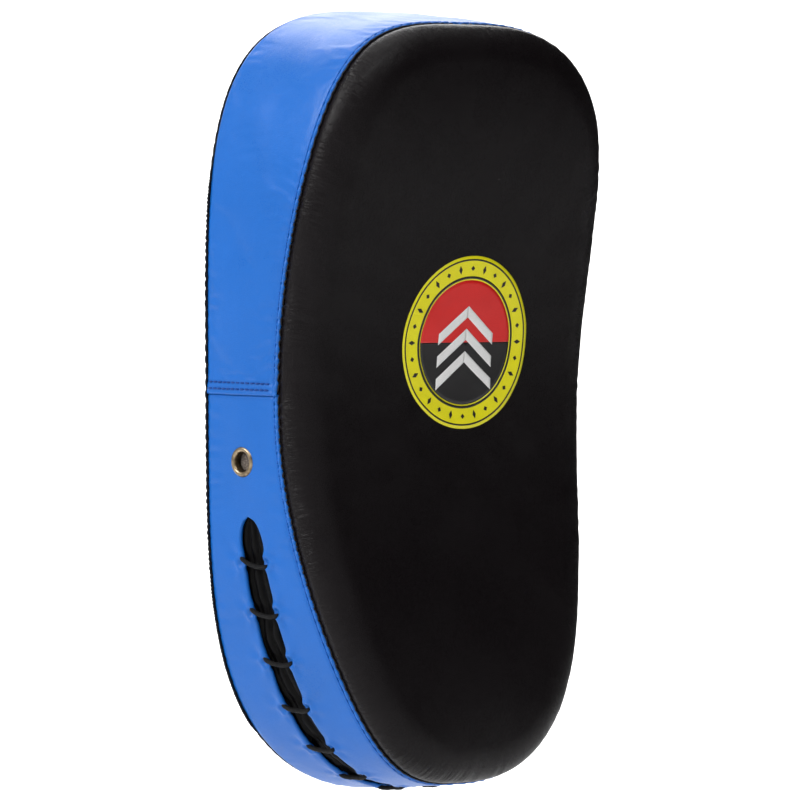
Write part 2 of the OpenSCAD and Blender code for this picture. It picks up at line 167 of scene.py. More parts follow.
def side_width(arc):
    """Width of the side between the widest outline and the front seam."""
    turn = turn_at(arc)
    return np.linalg.norm(wall(turn, 1.0) - wall(turn, 0.0), axis=-1)


def face_point(turn, roll, lift=0.0):
    """Rim of the striking face; roll runs from 0 at the seam to pi/2 at the top of the crown."""
    inset = FACE_ROUND * (1 - np.cos(roll)) - lift * np.cos(roll)
    x, z = seam_outline(turn, inset)
    return np.stack([x, BODY_Y - seam_depth(z) - CROWN * np.sin(roll) - lift * np.sin(roll), z], -1)


def upright(flat, y, middle=(0, 0, 0)):
    """Points of a flat outline, given as its x and z values, in the plane at y."""
    x, z = flat
    return np.stack([middle[0] + x, np.full_like(x, y), middle[2] + z], 1)


def face_y(z):
    """Height of the striking face's flat part at height z."""
    return BODY_Y - seam_depth(z) - CROWN


def smooth_noise(points, size, seed):
    """Soft random field of roughly -1 to 1 with bumps of the given size."""
    chance = np.random.default_rng(seed)
    total = np.zeros(points.shape[:-1])
    for _ in range(14):
        direction = unit(chance.normal(size=3)) * chance.uniform(0.6, 1.5) / size
        total += np.sin(2 * math.pi * (points @ direction) + chance.uniform(0, 2 * math.pi))
    return total / 5


def bell(x, width):
    """1 at 0, and close to 0 from twice the width."""
    return np.exp(-(x / width) ** 2)


def ease(x):
    """Soft step from 0 at 0 to 1 at 1."""
    x = np.clip(x, 0, 1)
    return x * x * (3 - 2 * x)


# ---- materials ----

WAVE_SCALE = 0.314      # scale of a wave texture whose bands are a metre apart


def tint(colour, factor):
    """A colour made darker or paler."""
    return tuple(min(1.0, c * factor) for c in colour) + (1.0,)


class Shader:
    """Builds one material's nodes, so that each recipe below reads as a list of steps."""

    def __init__(self, name):
        self.material = bpy.data.materials.new(name)
        self.material.use_nodes = True
        self.tree = self.material.node_tree
        self.body = self.tree.nodes["Principled BSDF"]
        self.place = self.tree.nodes.new("ShaderNodeTexCoord").outputs["Object"]

    def link(self, value, socket):
        """Joins another node's output to a socket, or sets the socket's value."""
        if isinstance(value, bpy.types.NodeSocket):
            self.tree.links.new(value, socket)
        else:
            socket.default_value = value

    def add(self, kind, output=0, properties=None, **inputs):
        """A new node; inputs are given by name, or as i0, i1 by number. Returns one output."""
        node = self.tree.nodes.new(kind)
        for key, value in (properties or {}).items():
            setattr(node, key, value)
        for key, value in inputs.items():
            index = int(key[1:]) if key[0] == "i" and key[1:].isdigit() else key.replace("_", " ")
            self.link(value, node.inputs[index])
        return node.outputs[output]

    def noise(self, size, detail=3.0, place=None):
        return self.add("ShaderNodeTexNoise", Vector=place or self.place, Scale=1 / size, Detail=detail)

    def cells(self, size, feature="DISTANCE_TO_EDGE"):
        return self.add("ShaderNodeTexVoronoi", properties={"feature": feature},
                        Vector=self.place, Scale=1 / size)

    def math(self, operation, a, b=0.0):
        return self.add("ShaderNodeMath", properties={"operation": operation}, i0=a, i1=b)

    def spread(self, value, low, high, to_low, to_high):
        return self.add("ShaderNodeMapRange", Value=value, From_Min=low, From_Max=high,
                        To_Min=to_low, To_Max=to_high)

    def stretch(self, scale, place=None):
        return self.add("ShaderNodeMapping", Vector=place or self.place, Scale=scale)

    def mix(self, share, a, b):
        node = self.tree.nodes.new("ShaderNodeMix")
        node.data_type = "RGBA"
        self.link(share, node.inputs["Factor"])
        self.link(a, node.inputs["A"])
        self.link(b, node.inputs["B"])
        return node.outputs["Result"]

    def bump(self, height, depth, below=None):
        inputs = {"Height": height, "Distance": depth, "Strength": 1.0}
        if below is not None:
            inputs["Normal"] = below
        return self.add("ShaderNodeBump", **inputs)

    def waves(self, pitch, direction, distortion):
        """Soft bands at a pitch."""
        return self.add("ShaderNodeTexWave", output=1, properties={"bands_direction": direction},
                        Vector=self.place, Scale=WAVE_SCALE / pitch, Distortion=distortion)

    def stored(self, name):
        """A vector stored on the mesh, whole and in its three parts."""
        vector = self.add("ShaderNodeAttribute", output=1, properties={"attribute_name": name})
        split = self.tree.nodes.new("ShaderNodeSeparateXYZ")
        self.link(vector, split.inputs[0])
        return vector, split.outputs

    def finish(self, **inputs):
        for key, value in inputs.items():
            self.link(value, self.body.inputs[key.replace("_", " ")])
        return self.material


def foam(name, colour, cell):
    """Cut foam: crowded open cells of uneven size."""
    s = Shader(name)
    walls = s.spread(s.cells(cell), 0.0, 0.3, 1.0, 0.0)
    tone = s.mix(walls, tint(colour, 0.72), tint(colour, 1.12))
    tone = s.mix(s.spread(s.noise(45 * MM), 0.4, 0.7, 0, 0.3), tone, tint(colour, 0.8))
    return s.finish(Base_Color=tone, Roughness=0.9, Normal=s.bump(walls, 0.25 * MM),
                    Specular_IOR_Level=0.2)


def leather(name, colour, rough, grain=0.8 * MM, gloss=0.5, pale=1.25, crease=0.10 * MM,
            gathers=0.0, pebbles=0.035 * MM):
    """Coated leather: fine pebble grain, shallow creases, cloudy tone and gloss. Gathers are fine
    wrinkles across a drawn-in rim; they are placed by the "rim" values of the mesh."""
    s = Shader(name)
    clouds = s.noise(38 * MM, 4)
    pebble = s.spread(s.cells(grain), 0.0, 0.22, 0.0, 1.0)
    folds = s.noise(6 * MM, 5)
    base = s.mix(clouds, tint(colour, 0.86), tint(colour, pale))
    tone = s.mix(s.spread(pebble, 0, 1, 0.16, 0.0), base, tint(colour, 0.55))
    gloss_map = s.math("ADD", s.spread(clouds, 0.3, 0.7, rough - 0.05, rough + 0.06),
                       s.spread(pebble, 0, 1, 0.10, 0.0))
    normal = s.bump(pebble, pebbles, s.bump(folds, crease * 4))
    if gathers:
        rim, (_, _, reach) = s.stored("rim")
        ridges = s.noise(2.1 * MM, 2, s.stretch((1.0, 1.0, 0.14), rim))
        patches = s.spread(s.noise(34 * MM, 2), 0.40, 0.62, 0.15, 1.0)
        near = s.spread(reach, 5 * MM, 21 * MM, 1.0, 0.0)
        height = s.math("MULTIPLY", ridges, s.math("MULTIPLY", patches, near))
        normal = s.bump(height, gathers, normal)
    return s.finish(Base_Color=tone, Roughness=gloss_map, Normal=normal, Specular_IOR_Level=gloss)


def webbing(name, colour, rib=1.6 * MM):
    """Woven tape: ribs across, twill along, worked from the strap's own along-and-across values."""
    s = Shader(name)
    _, (along, across, _) = s.stored("weave")
    along = s.math("MULTIPLY", along, 2 * math.pi / rib)
    across = s.math("MULTIPLY", across, 2 * math.pi / (rib * 1.25))
    warp = s.math("SINE", s.math("ADD", across, s.math("MULTIPLY", along, 0.5)))
    weft = s.math("SINE", along)
    weave = s.math("ADD", s.math("MULTIPLY", warp, 0.5), s.math("MULTIPLY", weft, 0.35))
    height = s.math("ADD", weave, s.math("MULTIPLY", s.noise(0.35 * MM, 2), 0.5))
    tone = s.mix(s.spread(weave, -0.8, 0.8, 0, 1), tint(colour, 0.55), tint(colour, 1.7))
    dusty = s.mix(s.spread(s.noise(25 * MM, 4), 0.45, 0.75, 0, 0.2), tone, tint(colour, 2.2))
    return s.finish(Base_Color=dusty, Roughness=0.72, Normal=s.bump(height, 0.16 * MM),
                    Sheen_Weight=0.04, Specular_IOR_Level=0.25)


def cloth(name, colour, pitch):
    """Plain woven cloth from crossed waves."""
    s = Shader(name)
    weave = s.math("ADD", s.waves(pitch, "Z", 1.2), s.waves(pitch, "DIAGONAL", 1.2))
    tone = s.mix(s.spread(weave, 0.2, 1.6, 0, 1), tint(colour, 0.6), tint(colour, 1.6))
    return s.finish(Base_Color=tone, Roughness=0.55, Normal=s.bump(weave, 0.12 * MM),
                    Specular_IOR_Level=0.2)


def fuzz(name, colour, size):
    """Napped tape: tangled loops or hooks."""
    s = Shader(name)
    nap = s.noise(size, 5)
    height = s.math("ADD", nap, s.cells(size * 1.6, "F1"))
    tone = s.mix(s.spread(nap, 0.35, 0.7, 0, 1), tint(colour, 0.5), tint(colour, 1.9))
    return s.finish(Base_Color=tone, Roughness=0.93, Normal=s.bump(height, 0.3 * MM),
                    Sheen_Weight=0.1, Specular_IOR_Level=0.2)


def thread(name, colour):
    """Twisted sewing thread."""
    s = Shader(name)
    twist = s.waves(0.35 * MM, "DIAGONAL", 0.6)
    tone = s.mix(twist, tint(colour, 0.7), tint(colour, 1.25))
    return s.finish(Base_Color=tone, Roughness=0.6, Normal=s.bump(twist, 0.05 * MM),
                    Specular_IOR_Level=0.3)


def metal(name, colour, rough, tarnish, stain):
    """Metal with fine scratches, uneven polish and a darker film in patches."""
    s = Shader(name)
    film = s.noise(3.5 * MM, 5)
    scratch = s.noise(0.5 * MM, 3, s.stretch((1.0, 0.15, 1.0)))
    tone = s.mix(s.spread(film, 0.42, 0.68, 0, tarnish), tint(colour, 1.0), tint(stain, 1.0))
    polish = s.math("ADD", s.spread(film, 0.35, 0.7, rough, rough + 0.18),
                    s.math("MULTIPLY", scratch, 0.08))
    return s.finish(Base_Color=tone, Metallic=1.0, Roughness=polish,
                    Normal=s.bump(scratch, 0.012 * MM))


def ink(name, colour):
    """Screen-printed film: the leather's grain shows through, with small flaws in the cover."""
    s = Shader(name)
    pores = s.spread(s.cells(0.8 * MM), 0, 0.22, 0, 1)
    clouds = s.noise(14 * MM, 4)
    tone = s.mix(s.spread(clouds, 0.35, 0.7, 0, 0.35), tint(colour, 1.0), tint(colour, 0.82))
    tone = s.mix(s.spread(pores, 0, 1, 0.14, 0), tone, tint(colour, 0.5))
    gloss_map = s.spread(clouds, 0.3, 0.7, 0.33, 0.46)
    return s.finish(Base_Color=tone, Roughness=gloss_map, Normal=s.bump(pores, 0.03 * MM))


BLACK = leather("black_leather", (0.0048, 0.0038, 0.0043), 0.36, gloss=0.22, pale=1.3,
                crease=0.04 * MM)
FACE_BLACK = leather("face_leather", (0.0060, 0.0046, 0.0053), 0.25, gloss=0.14, pale=1.3,
                     crease=0.03 * MM, gathers=1.2 * MM, pebbles=0.05 * MM)
BLUE = leather("blue_leather", (0.006, 0.130, 0.520), 0.31, gloss=0.33, pale=1.08, crease=0.04 * MM)
GRIP_LEATHER = leather("grip_leather", (0.008, 0.007, 0.0075), 0.42, grain=1.3 * MM, gloss=0.35)
WEBBING = webbing("black_webbing", (0.010, 0.010, 0.011))
FLAP_CLOTH = leather("flap_cloth", (0.0020, 0.0018, 0.0020), 0.36, gloss=0.10, crease=0.08 * MM)
LACE_CORD = cloth("lace_cord", (0.003, 0.003, 0.0033), 0.4 * MM)
LOOP_PILE = fuzz("loop_pile", (0.024, 0.024, 0.026), 0.7 * MM)
HOOK_PILE = fuzz("hook_pile", (0.016, 0.016, 0.018), 0.45 * MM)
BLACK_THREAD = thread("black_thread", (0.009, 0.009, 0.010))
NAVY_THREAD = thread("navy_thread", (0.010, 0.055, 0.270))
EDGE_THREAD = thread("edge_thread", (0.009, 0.115, 0.470))
BRASS = metal("antique_brass", (0.40, 0.31, 0.20), 0.24, 0.80, (0.06, 0.045, 0.03))
STEEL = metal("nickel_steel", (0.62, 0.62, 0.60), 0.17, 0.35, (0.30, 0.29, 0.27))
VENT_FOAM = fuzz("vent_foam", (0.125, 0.105, 0.090), 0.9 * MM)
YELLOW_INK = ink("yellow_ink", (0.93, 0.86, 0.008))
RED_INK = ink("red_ink", (0.76, 0.016, 0.014))
BLACK_INK = ink("black_ink", (0.012, 0.011, 0.012))
WHITE_INK = ink("white_ink", (0.92, 0.92, 0.91))
SOFT_FOAM = foam("soft_foam", (0.72, 0.70, 0.62), 1.1 * MM)
DENSE_FOAM = foam("dense_foam", (0.055, 0.060, 0.068), 0.8 * MM)
FOAM_BOARD = foam("foam_board", (0.26, 0.27, 0.28), 0.5 * MM)


# ---- mesh helpers ----

def paint(mesh, material):
    """Gives a mesh one material in place of any it has."""
    mesh.materials.clear()
    mesh.materials.append(material)


def add_object(name, data):
    """A new object in the scene."""
    obj = bpy.data.objects.new(name, data)
    bpy.context.collection.objects.link(obj)
    return obj


def piece(name, verts, faces, material, body="pad", slot="", stands_for=""):
    """A new mesh object that rides on a CAD body, and may stand for a CAD node."""
    mesh = bpy.data.meshes.new(name)
    mesh.from_pydata([tuple(v) for v in verts], [], [tuple(f) for f in faces])
    mesh.validate()
    obj = add_object(name, mesh)
    paint(mesh, material)
    mesh.shade_smooth()
    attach(obj, body)
    if stands_for:
        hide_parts(stands_for)
    return obj


def grid_faces(rows, cols, wrap_rows=False, wrap_cols=False, skip=None):
    """Quads of a grid of points numbered row by row; skip(row, col) leaves a quad out."""
    faces = []
    for r in range(rows if wrap_rows else rows - 1):
        for c in range(cols if wrap_cols else cols - 1):
            if skip is None or not skip(r, c):
                below, right = (r + 1) % rows, (c + 1) % cols
                faces.append((r * cols + c, below * cols + c, below * cols + right, r * cols + right))
    return faces


def rod_faces(rows, sides):
    """Faces of a rod: its wall and both of its ends."""
    last = rows * sides - 1
    return grid_faces(rows, sides, wrap_cols=True) + [tuple(range(sides)),
                                                      tuple(last - k for k in range(sides))]


def sheet(name, points, material, wrap_rows=False, wrap_cols=False, skip=None, **options):
    """A piece from a (rows, cols, 3) array of points."""
    faces = grid_faces(*points.shape[:2], wrap_rows, wrap_cols, skip)
    return piece(name, points.reshape(-1, 3), faces, material, **options)


@contextmanager
def edited(obj):
    """Opens an object's mesh for editing and puts the result back."""
    work = bmesh.new()
    work.from_mesh(obj.data)
    yield work
    work.to_mesh(obj.data)
    work.free()


def tidy(obj, merge=0.02 * MM):
    """Welds doubled points, drops slivers and points every face outwards."""
    with edited(obj) as work:
        bmesh.ops.remove_doubles(work, verts=work.verts, dist=merge)
        bmesh.ops.dissolve_degenerate(work, edges=work.edges, dist=0.005 * MM)
        bmesh.ops.recalc_face_normals(work, faces=work.faces)
    obj.data.shade_smooth()


def with_modifier(obj, kind, **settings):
    """Adds a modifier and applies it at once."""
    modifier = obj.modifiers.new(kind.lower(), kind)
    for key, value in settings.items():
        setattr(modifier, key, value)
    bpy.context.view_layer.update()
    done = bpy.data.meshes.new_from_object(obj.evaluated_get(bpy.context.evaluated_depsgraph_get()))
    obj.modifiers.clear()
    obj.data = done


def thicken(obj, thickness):
    """Gives a sheet that goes round the body its thickness, inwards."""
    centre = Vector((0, BODY_Y - WAIST / 2, 0))
    outward = sum(face.area * face.normal.dot(face.center - centre) for face in obj.data.polygons)
    if outward < 0:
        obj.data.flip_normals()
    with_modifier(obj, "SOLIDIFY", thickness=thickness, offset=-1.0, use_rim=True)
    obj.data.shade_smooth()


def set_values(obj, name, values):
    """Stores one vector per point, for a material to read."""
    layer = obj.data.attributes.new(name, "FLOAT_VECTOR", "POINT")
    layer.data.foreach_set("vector", values.ravel())


def get_points(obj):
    """A mesh object's points as an array."""
    flat = np.empty(len(obj.data.vertices) * 3)
    obj.data.vertices.foreach_get("co", flat)
    return flat.reshape(-1, 3)


def set_points(obj, points):
    """Moves a mesh object's points."""
    obj.data.vertices.foreach_set("co", np.asarray(points, float).ravel())
    obj.data.update()


def settle(obj, pin, grow, pressure, cap, stiffness=12.0, bend=0.4):
    """Cloth simulation of leather held by its pin weights. grow lets the sheet be larger than
    its frame, so it wrinkles; cap is the furthest that any point may end up from its start."""
    start = get_points(obj)
    group = obj.vertex_groups.new(name="pin")
    for index, weight in enumerate(np.ravel(pin)):
        if weight > 0.01:
            group.add([index], float(min(1.0, weight)), "REPLACE")
    cloth_modifier = obj.modifiers.new("cloth", "CLOTH")
    settings = cloth_modifier.settings
    settings.quality = 6
    settings.mass = 0.3
    settings.tension_stiffness = stiffness
    settings.compression_stiffness = stiffness
    settings.shear_stiffness = stiffness / 2
    settings.bending_stiffness = bend
    settings.shrink_min = -grow
    settings.use_pressure = pressure > 0
    settings.uniform_pressure_force = pressure
    settings.vertex_group_mass = "pin"
    settings.effector_weights.gravity = 0
    cloth_modifier.collision_settings.use_collision = False
    for step in range(1, 21):
        bpy.context.scene.frame_set(step)
    shape = obj.evaluated_get(bpy.context.evaluated_depsgraph_get()).to_mesh()
    flat = np.empty(len(shape.vertices) * 3)
    shape.vertices.foreach_get("co", flat)
    move = flat.reshape(-1, 3) - start
    obj.modifiers.clear()
    obj.vertex_groups.clear()
    bpy.context.scene.frame_set(1)
    far = np.linalg.norm(move, axis=1, keepdims=True)
    set_points(obj, start + move * cap * np.tanh(far / cap) / np.maximum(far, 1e-9))


def arc_points(centre, radius, start, end, count=14):
    """Points along part of a circle, between two angles in degrees."""
    angle = np.radians(np.linspace(start, end, count))
    return [(centre[0] + radius * math.cos(a), centre[1] + radius * math.sin(a)) for a in angle]


def tube_points(path, radius, sides, closed=False):
    """Rings of a tube round a path, carried along without twisting. radius may vary."""
    path = np.asarray(path, float)
    if closed:
        tangent = unit(np.roll(path, -1, 0) - np.roll(path, 1, 0))
    else:
        tangent = unit(np.gradient(path, axis=0))
    seed = np.array([0.31, 0.87, 0.38])
    u = unit(np.cross(tangent[0], seed))
    rings = []
    radii = np.broadcast_to(radius, len(path))
    angle = np.linspace(0, 2 * math.pi, sides, endpoint=False)[:, None]
    for point, direction, r in zip(path, tangent, radii):
        u = unit(u - np.dot(u, direction) * direction)
        v = np.cross(direction, u)
        rings.append(point + r * (np.cos(angle) * u + np.sin(angle) * v))
    return np.array(rings)


def tube(name, path, radius, material, sides=16, closed=False, **options):
    """A round cord or wire."""
    rings = tube_points(path, radius, sides, closed)
    faces = grid_faces(len(rings), sides, True, True) if closed else rod_faces(len(rings), sides)
    tidy(piece(name, rings.reshape(-1, 3), faces, material, **options))


def curve_through(points, per_span=8):
    """Smooth path through key points."""
    p = np.asarray(points, float)
    p = np.vstack([2 * p[0] - p[1], p, 2 * p[-1] - p[-2]])
    out = []
    for k in range(1, len(p) - 2):
        for t in np.linspace(0, 1, per_span, endpoint=False):
            out.append(0.5 * (2 * p[k] + (p[k + 1] - p[k - 1]) * t
                              + (2 * p[k - 1] - 5 * p[k] + 4 * p[k + 1] - p[k + 2]) * t ** 2
                              + (3 * p[k] - p[k - 1] - 3 * p[k + 1] + p[k + 2]) * t ** 3))
    return np.array(out + [p[-2]])


def resample(path, step, closed=False):
    """The same path with evenly spaced points."""
    path = np.asarray(path, float)
    if closed:
        path = np.vstack([path, path[:1]])
    arc = np.concatenate([[0], np.cumsum(np.linalg.norm(np.diff(path, axis=0), axis=1))])
    count = max(2, round(arc[-1] / step) + 1)
    at = np.linspace(0, arc[-1], count)
    if closed:
        at = at[:-1]
    return np.stack([np.interp(at, arc, path[:, k]) for k in range(path.shape[1])], 1)


STITCH = 3.4 * MM       # distance from one stitch to the next
THREAD_R = 0.42 * MM    # radius of the thread
STITCH_ROWS = 6         # points along one stitch
STITCH_SIDES = 6        # points round it


def stitches(name, path, out, material=BLACK_THREAD, body="pad", pitch=STITCH, radius=THREAD_R,
             closed=False):
    """A row of lockstitches: each is a short thread that dives into the leather at both ends."""
    path = np.asarray(path, float)
    both = resample(np.hstack([path, np.broadcast_to(out, path.shape)]), pitch / STITCH_ROWS, closed)
    share = np.linspace(-1, 1, STITCH_ROWS)
    rod = rod_faces(STITCH_ROWS, STITCH_SIDES)
    verts = []
    faces = []
    for k in range(len(both) // STITCH_ROWS):
        part = both[k * STITCH_ROWS:(k + 1) * STITCH_ROWS]
        rise = radius * (0.75 - 1.9 * share ** 4)[:, None]
        wander = radius * random.uniform(-0.25, 0.25)
        centre = part[:, :3] + unit(part[:, 3:]) * (rise + wander)
        rings = tube_points(centre, radius * (1 - 0.35 * share ** 4), STITCH_SIDES)
        faces.extend(tuple(len(verts) + i for i in f) for f in rod)
        verts.extend(rings.reshape(-1, 3))
    piece(name, verts, faces, material, body)


def edge_pin(points, rows=0, first=0, last=0):
    """Pin weights that hold the end rows and the first and last columns of a grid."""
    pin = np.zeros(points.shape[:2])
    pin[:, :first] = 1
    pin[:, points.shape[1] - last:] = 1
    pin[:rows] = 1
    pin[len(points) - rows:] = 1
    return pin


def edge_steps(length, fine, count, middle):
    """Places across a strip, close together within `fine` of both edges."""
    near = fine * np.linspace(0, 1, count) ** 1.7
    inside = np.linspace(fine, length - fine, middle + 2)[1:-1]
    return np.concatenate([near, inside, length - near[::-1]])


# ---- striking face ----

SEAM_STITCHES = round(GIRTH / (6.2 * MM))
SEAM_PITCH = GIRTH / SEAM_STITCHES  # spacing of the hidden seam stitches that dent the edges
FACE_ARCS = np.linspace(0, GIRTH, 5 * SEAM_STITCHES, endpoint=False)
FACE_TURNS = turn_at(FACE_ARCS)


def short_wrinkles(arc, seed):
    """Irregular ridges that run across the rim, from -1 to 1, in patches."""
    chance = np.random.default_rng(seed)
    ridges = sum(np.sin(2 * math.pi * arc / chance.uniform(5, 12) / MM + chance.uniform(0, 6.3))
                 for _ in range(7)) / 3.2
    patches = sum(np.sin(2 * math.pi * arc / chance.uniform(60, 170) / MM + chance.uniform(0, 6.3))
                  for _ in range(4)) / 4
    return ridges * ease(patches + 0.6)


def striking_face():
    """Black face: it rounds over from its tucked seam and runs flat to the middle."""
    rolls = np.concatenate([[-0.16, -0.08], np.linspace(0, 1, 22) ** 1.15 * math.pi / 2])
    rings = []
    for roll in rolls:
        tuck = -0.9 * MM * bell(roll * FACE_ROUND - 0.5 * MM, 2.6 * MM)
        fine = 0.15 * MM * short_wrinkles(FACE_ARCS, 3) * bell(roll - 0.55, 0.42)
        rings.append(face_point(FACE_TURNS, roll, tuck + fine))
    x, _, z = rings[-1].T
    for k in 1 - np.linspace(0, 1, 20)[1:] ** 0.9:
        rings.append(np.stack([x * k, face_y(z * k), z * k], 1))
    points = np.stack(rings, 1)
    flat = np.ones(len(rings) - len(rolls))
    puff = 0.55 * MM * smooth_noise(points, 85 * MM, 11) + 0.16 * MM * smooth_noise(points, 26 * MM, 12)
    points[..., 1] -= puff * ease(np.concatenate([rolls / 0.8, flat]))
    face = sheet("strike_face", points, FACE_BLACK, wrap_rows=True, stands_for="strike_cover")
    reach = np.concatenate([rolls, 2 * flat]) * FACE_ROUND
    loop = GIRTH / (2 * math.pi)
    around, reach = np.meshgrid(FACE_ARCS / loop, reach, indexing="ij")
    set_values(face, "rim", np.stack([loop * np.cos(around), loop * np.sin(around), reach], -1))
    inner = np.concatenate([0 * rolls, 1 - np.linspace(1, 0, 20)[1:] ** 0.9])
    pin = np.maximum(edge_pin(points, first=4), ease((inner - 0.12) / 0.3))
    settle(face, pin, 0.014, 2.0, 1.1 * MM)
    tidy(face)
    return face


# ---- gusset ----

TUCK = 2 * MM                      # how far the gusset runs under the rear cover's lip
FOLD_R = 1.1 * MM                  # rounding of a folded leather edge
FRONT_GROOVE = 2.9 * MM            # faint groove's distance from the folded front edge
JOIN_LAP = 11 * MM                 # overlap of the two gusset strips
HOLE_OUT = 8.2 * MM                # lace holes' distance from the slit's middle
SLIT_HALF_W = 7.2 * MM             # half the slit's width
SLIT_ROUND = 14 * MM               # length of the slit's rounded tip
FIRST_LACE = 22.5 * MM             # from the slit's tip to its first crossing
CROSSINGS = 14                     # of the lace over the slit, both sides together
SIDE_ROWS = 560                    # rows of points along each gusset strip
LACE_R = 1.2 * MM                  # radius of the lace
SLIT_TIP_Z = -57 * MM              # height at which the slit ends
SLIT_REACH = ELBOW_ARC - arc_at(SLIT_TIP_Z)
LACE_STEP = 2 * (SLIT_REACH - FIRST_LACE) / (CROSSINGS - 1)
LACE_ARCS = ELBOW_ARC + LACE_STEP * (np.arange(CROSSINGS) - (CROSSINGS - 1) / 2)
VENT_LOW, VENT_HIGH = low_high("vent_eyelets")
VENT_R = (VENT_HIGH[2] - VENT_LOW[2]) / 2
VENT_ARC = arc_at((VENT_LOW[2] + VENT_HIGH[2]) / 2)
VENT_ARCS = (VENT_ARC, GIRTH - VENT_ARC)


def scallop(arc):
    """Share of a seam stitch's pull at a distance along the side: 1 at a stitch, 0 between."""
    return (0.5 + 0.5 * np.cos(2 * math.pi * arc / SEAM_PITCH)) ** 3


def folded(distance):
    """Drop of a folded leather edge at a distance from it."""
    inside = np.clip(1 - distance / FOLD_R, 0, 1)
    return -FOLD_R * (1 - np.sqrt(1 - inside ** 2))


def slit_opening(arc):
    """Half width of the laced slit: pointed at its tips and drawn in at each crossing."""
    left = SLIT_REACH - np.abs(arc - ELBOW_ARC)
    width = SLIT_HALF_W * np.sqrt(1 - (1 - np.clip(left / SLIT_ROUND, 0, 1)) ** 2)
    pinch = sum(bell(arc - a, 5.0 * MM) for a in LACE_ARCS)
    return width * (1 - 0.15 * pinch)


def rolled_back(z):
    """1 near both ends, where the rear seam rolls onto the back and the side hides it."""
    return ease((z - 0.10) / 0.05) + ease((-z - 0.160) / 0.018)


def side_height(arc, from_rear, from_front):
    """Relief of the gusset's leather over the plain wall."""
    place = wall(turn_at(arc), 0.5) + np.stack([0 * arc, from_rear, 0 * arc], -1)
    share = np.clip(from_rear / (from_rear + from_front), 0, 1)
    belly = 0.75 * MM * np.sin(math.pi * share) ** 0.8
    tucked = -(1.7 + 0.9 * rolled_back(place[..., 2])) * MM * ease(1 - (from_rear + TUCK) / (3.6 * MM))
    groove = -0.45 * MM * bell(from_front - FRONT_GROOVE, 0.7 * MM)
    groove += (0.6 - 0.9 * scallop(arc)) * MM * bell(from_front - 0.7 * MM, 1.3 * MM)
    groove += -0.30 * MM * bell(from_rear - 1.0 * MM, 1.0 * MM)
    pulls = 0.20 * MM * short_wrinkles(arc, 21) * bell(from_front - 6 * MM, 4 * MM)
    pulls += 0.20 * MM * short_wrinkles(arc, 22) * bell(from_rear - 5 * MM, 4 * MM)
    waves = 0.42 * MM * smooth_noise(place, 55 * MM, 31) * np.sin(math.pi * share)
    return 0.25 * MM + belly + tucked + groove + folded(from_front) + pulls + waves


def on_side(arc, from_rear, height):
    """Point of the side, from its distance along, its distance from the lip, and its height."""
    width = side_width(arc)
    drawn = 0.7 * MM * scallop(arc) * bell(width - LIP - from_rear, 2.2 * MM)
    share = (LIP + from_rear - drawn) / width
    turn = turn_at(arc)
    normal = wall_frame(arc)[1]
    return wall(turn, share) + normal * np.asarray(height)[..., None]


def open_width(arc):
    """Gusset width between the rear lip and the folded front edge."""
    return side_width(arc) - LIP


def slit_middle(arc):
    """Distance of the slit's middle from the rear lip."""
    return side_width(arc) / 2 - LIP


JOIN_ARC = SIDE_ARC - 4.8 * MM     # where the upper strip ends
JOIN_ROWS = (3.0 * MM, 6.2 * MM)   # the two stitch rows' distances from the join's folded edge


def upper_height(arc, from_rear, width):
    """Relief of the upper strip: its doubled ends stand higher and are dented by two stitch rows."""
    to_end = JOIN_ARC - np.abs(arc)
    rows = sum(bell(to_end - row, 0.9 * MM) for row in JOIN_ROWS)
    raised = 1.15 * ease(1 - to_end / JOIN_LAP) - 0.45 * rows
    return side_height(arc, from_rear, width - from_rear) + raised * MM


def gusset_upper():
    """The strip over the hand end. Its two folded ends lie over the lower strip."""
    fine = 2 * FOLD_R * np.linspace(0, 1, 9)[:-1] ** 1.6
    even = np.linspace(-JOIN_ARC, JOIN_ARC, SIDE_ROWS)[1:-1]
    rows = []
    for arc in np.sort(np.concatenate([fine - JOIN_ARC, even, JOIN_ARC - fine])):
        width = open_width(arc)
        from_rear = edge_steps(width + TUCK, 8 * MM, 12, 16) - TUCK
        here = np.full_like(from_rear, arc)
        height = upper_height(here, from_rear, width) + folded(JOIN_ARC - abs(arc))
        rows.append(on_side(here, from_rear, height))
    points = np.array(rows)
    strip = sheet("gusset_upper", points, BLUE, stands_for="upper_gusset")
    settle(strip, edge_pin(points, 14, 8, 9), 0.006, 1.5, 0.35 * MM)
    thicken(strip, GUSSET_T)


def lace_pull(arc, offset, side_of_slit):
    """Dents and gathers round the lace holes; offset is measured from the slit's middle."""
    total = np.zeros_like(offset)
    out = offset - HOLE_OUT
    for along in (arc - a for a in LACE_ARCS):
        far = np.hypot(along, out)
        total += 0.75 * MM * bell(far - 3.4 * MM, 1.5 * MM) - 1.3 * MM * bell(far, 1.7 * MM)
        rays = np.cos(5 * np.arctan2(along, out + 1e-6) + side_of_slit)
        total += 0.34 * MM * rays * bell(far - 7 * MM, 4 * MM)
    return total


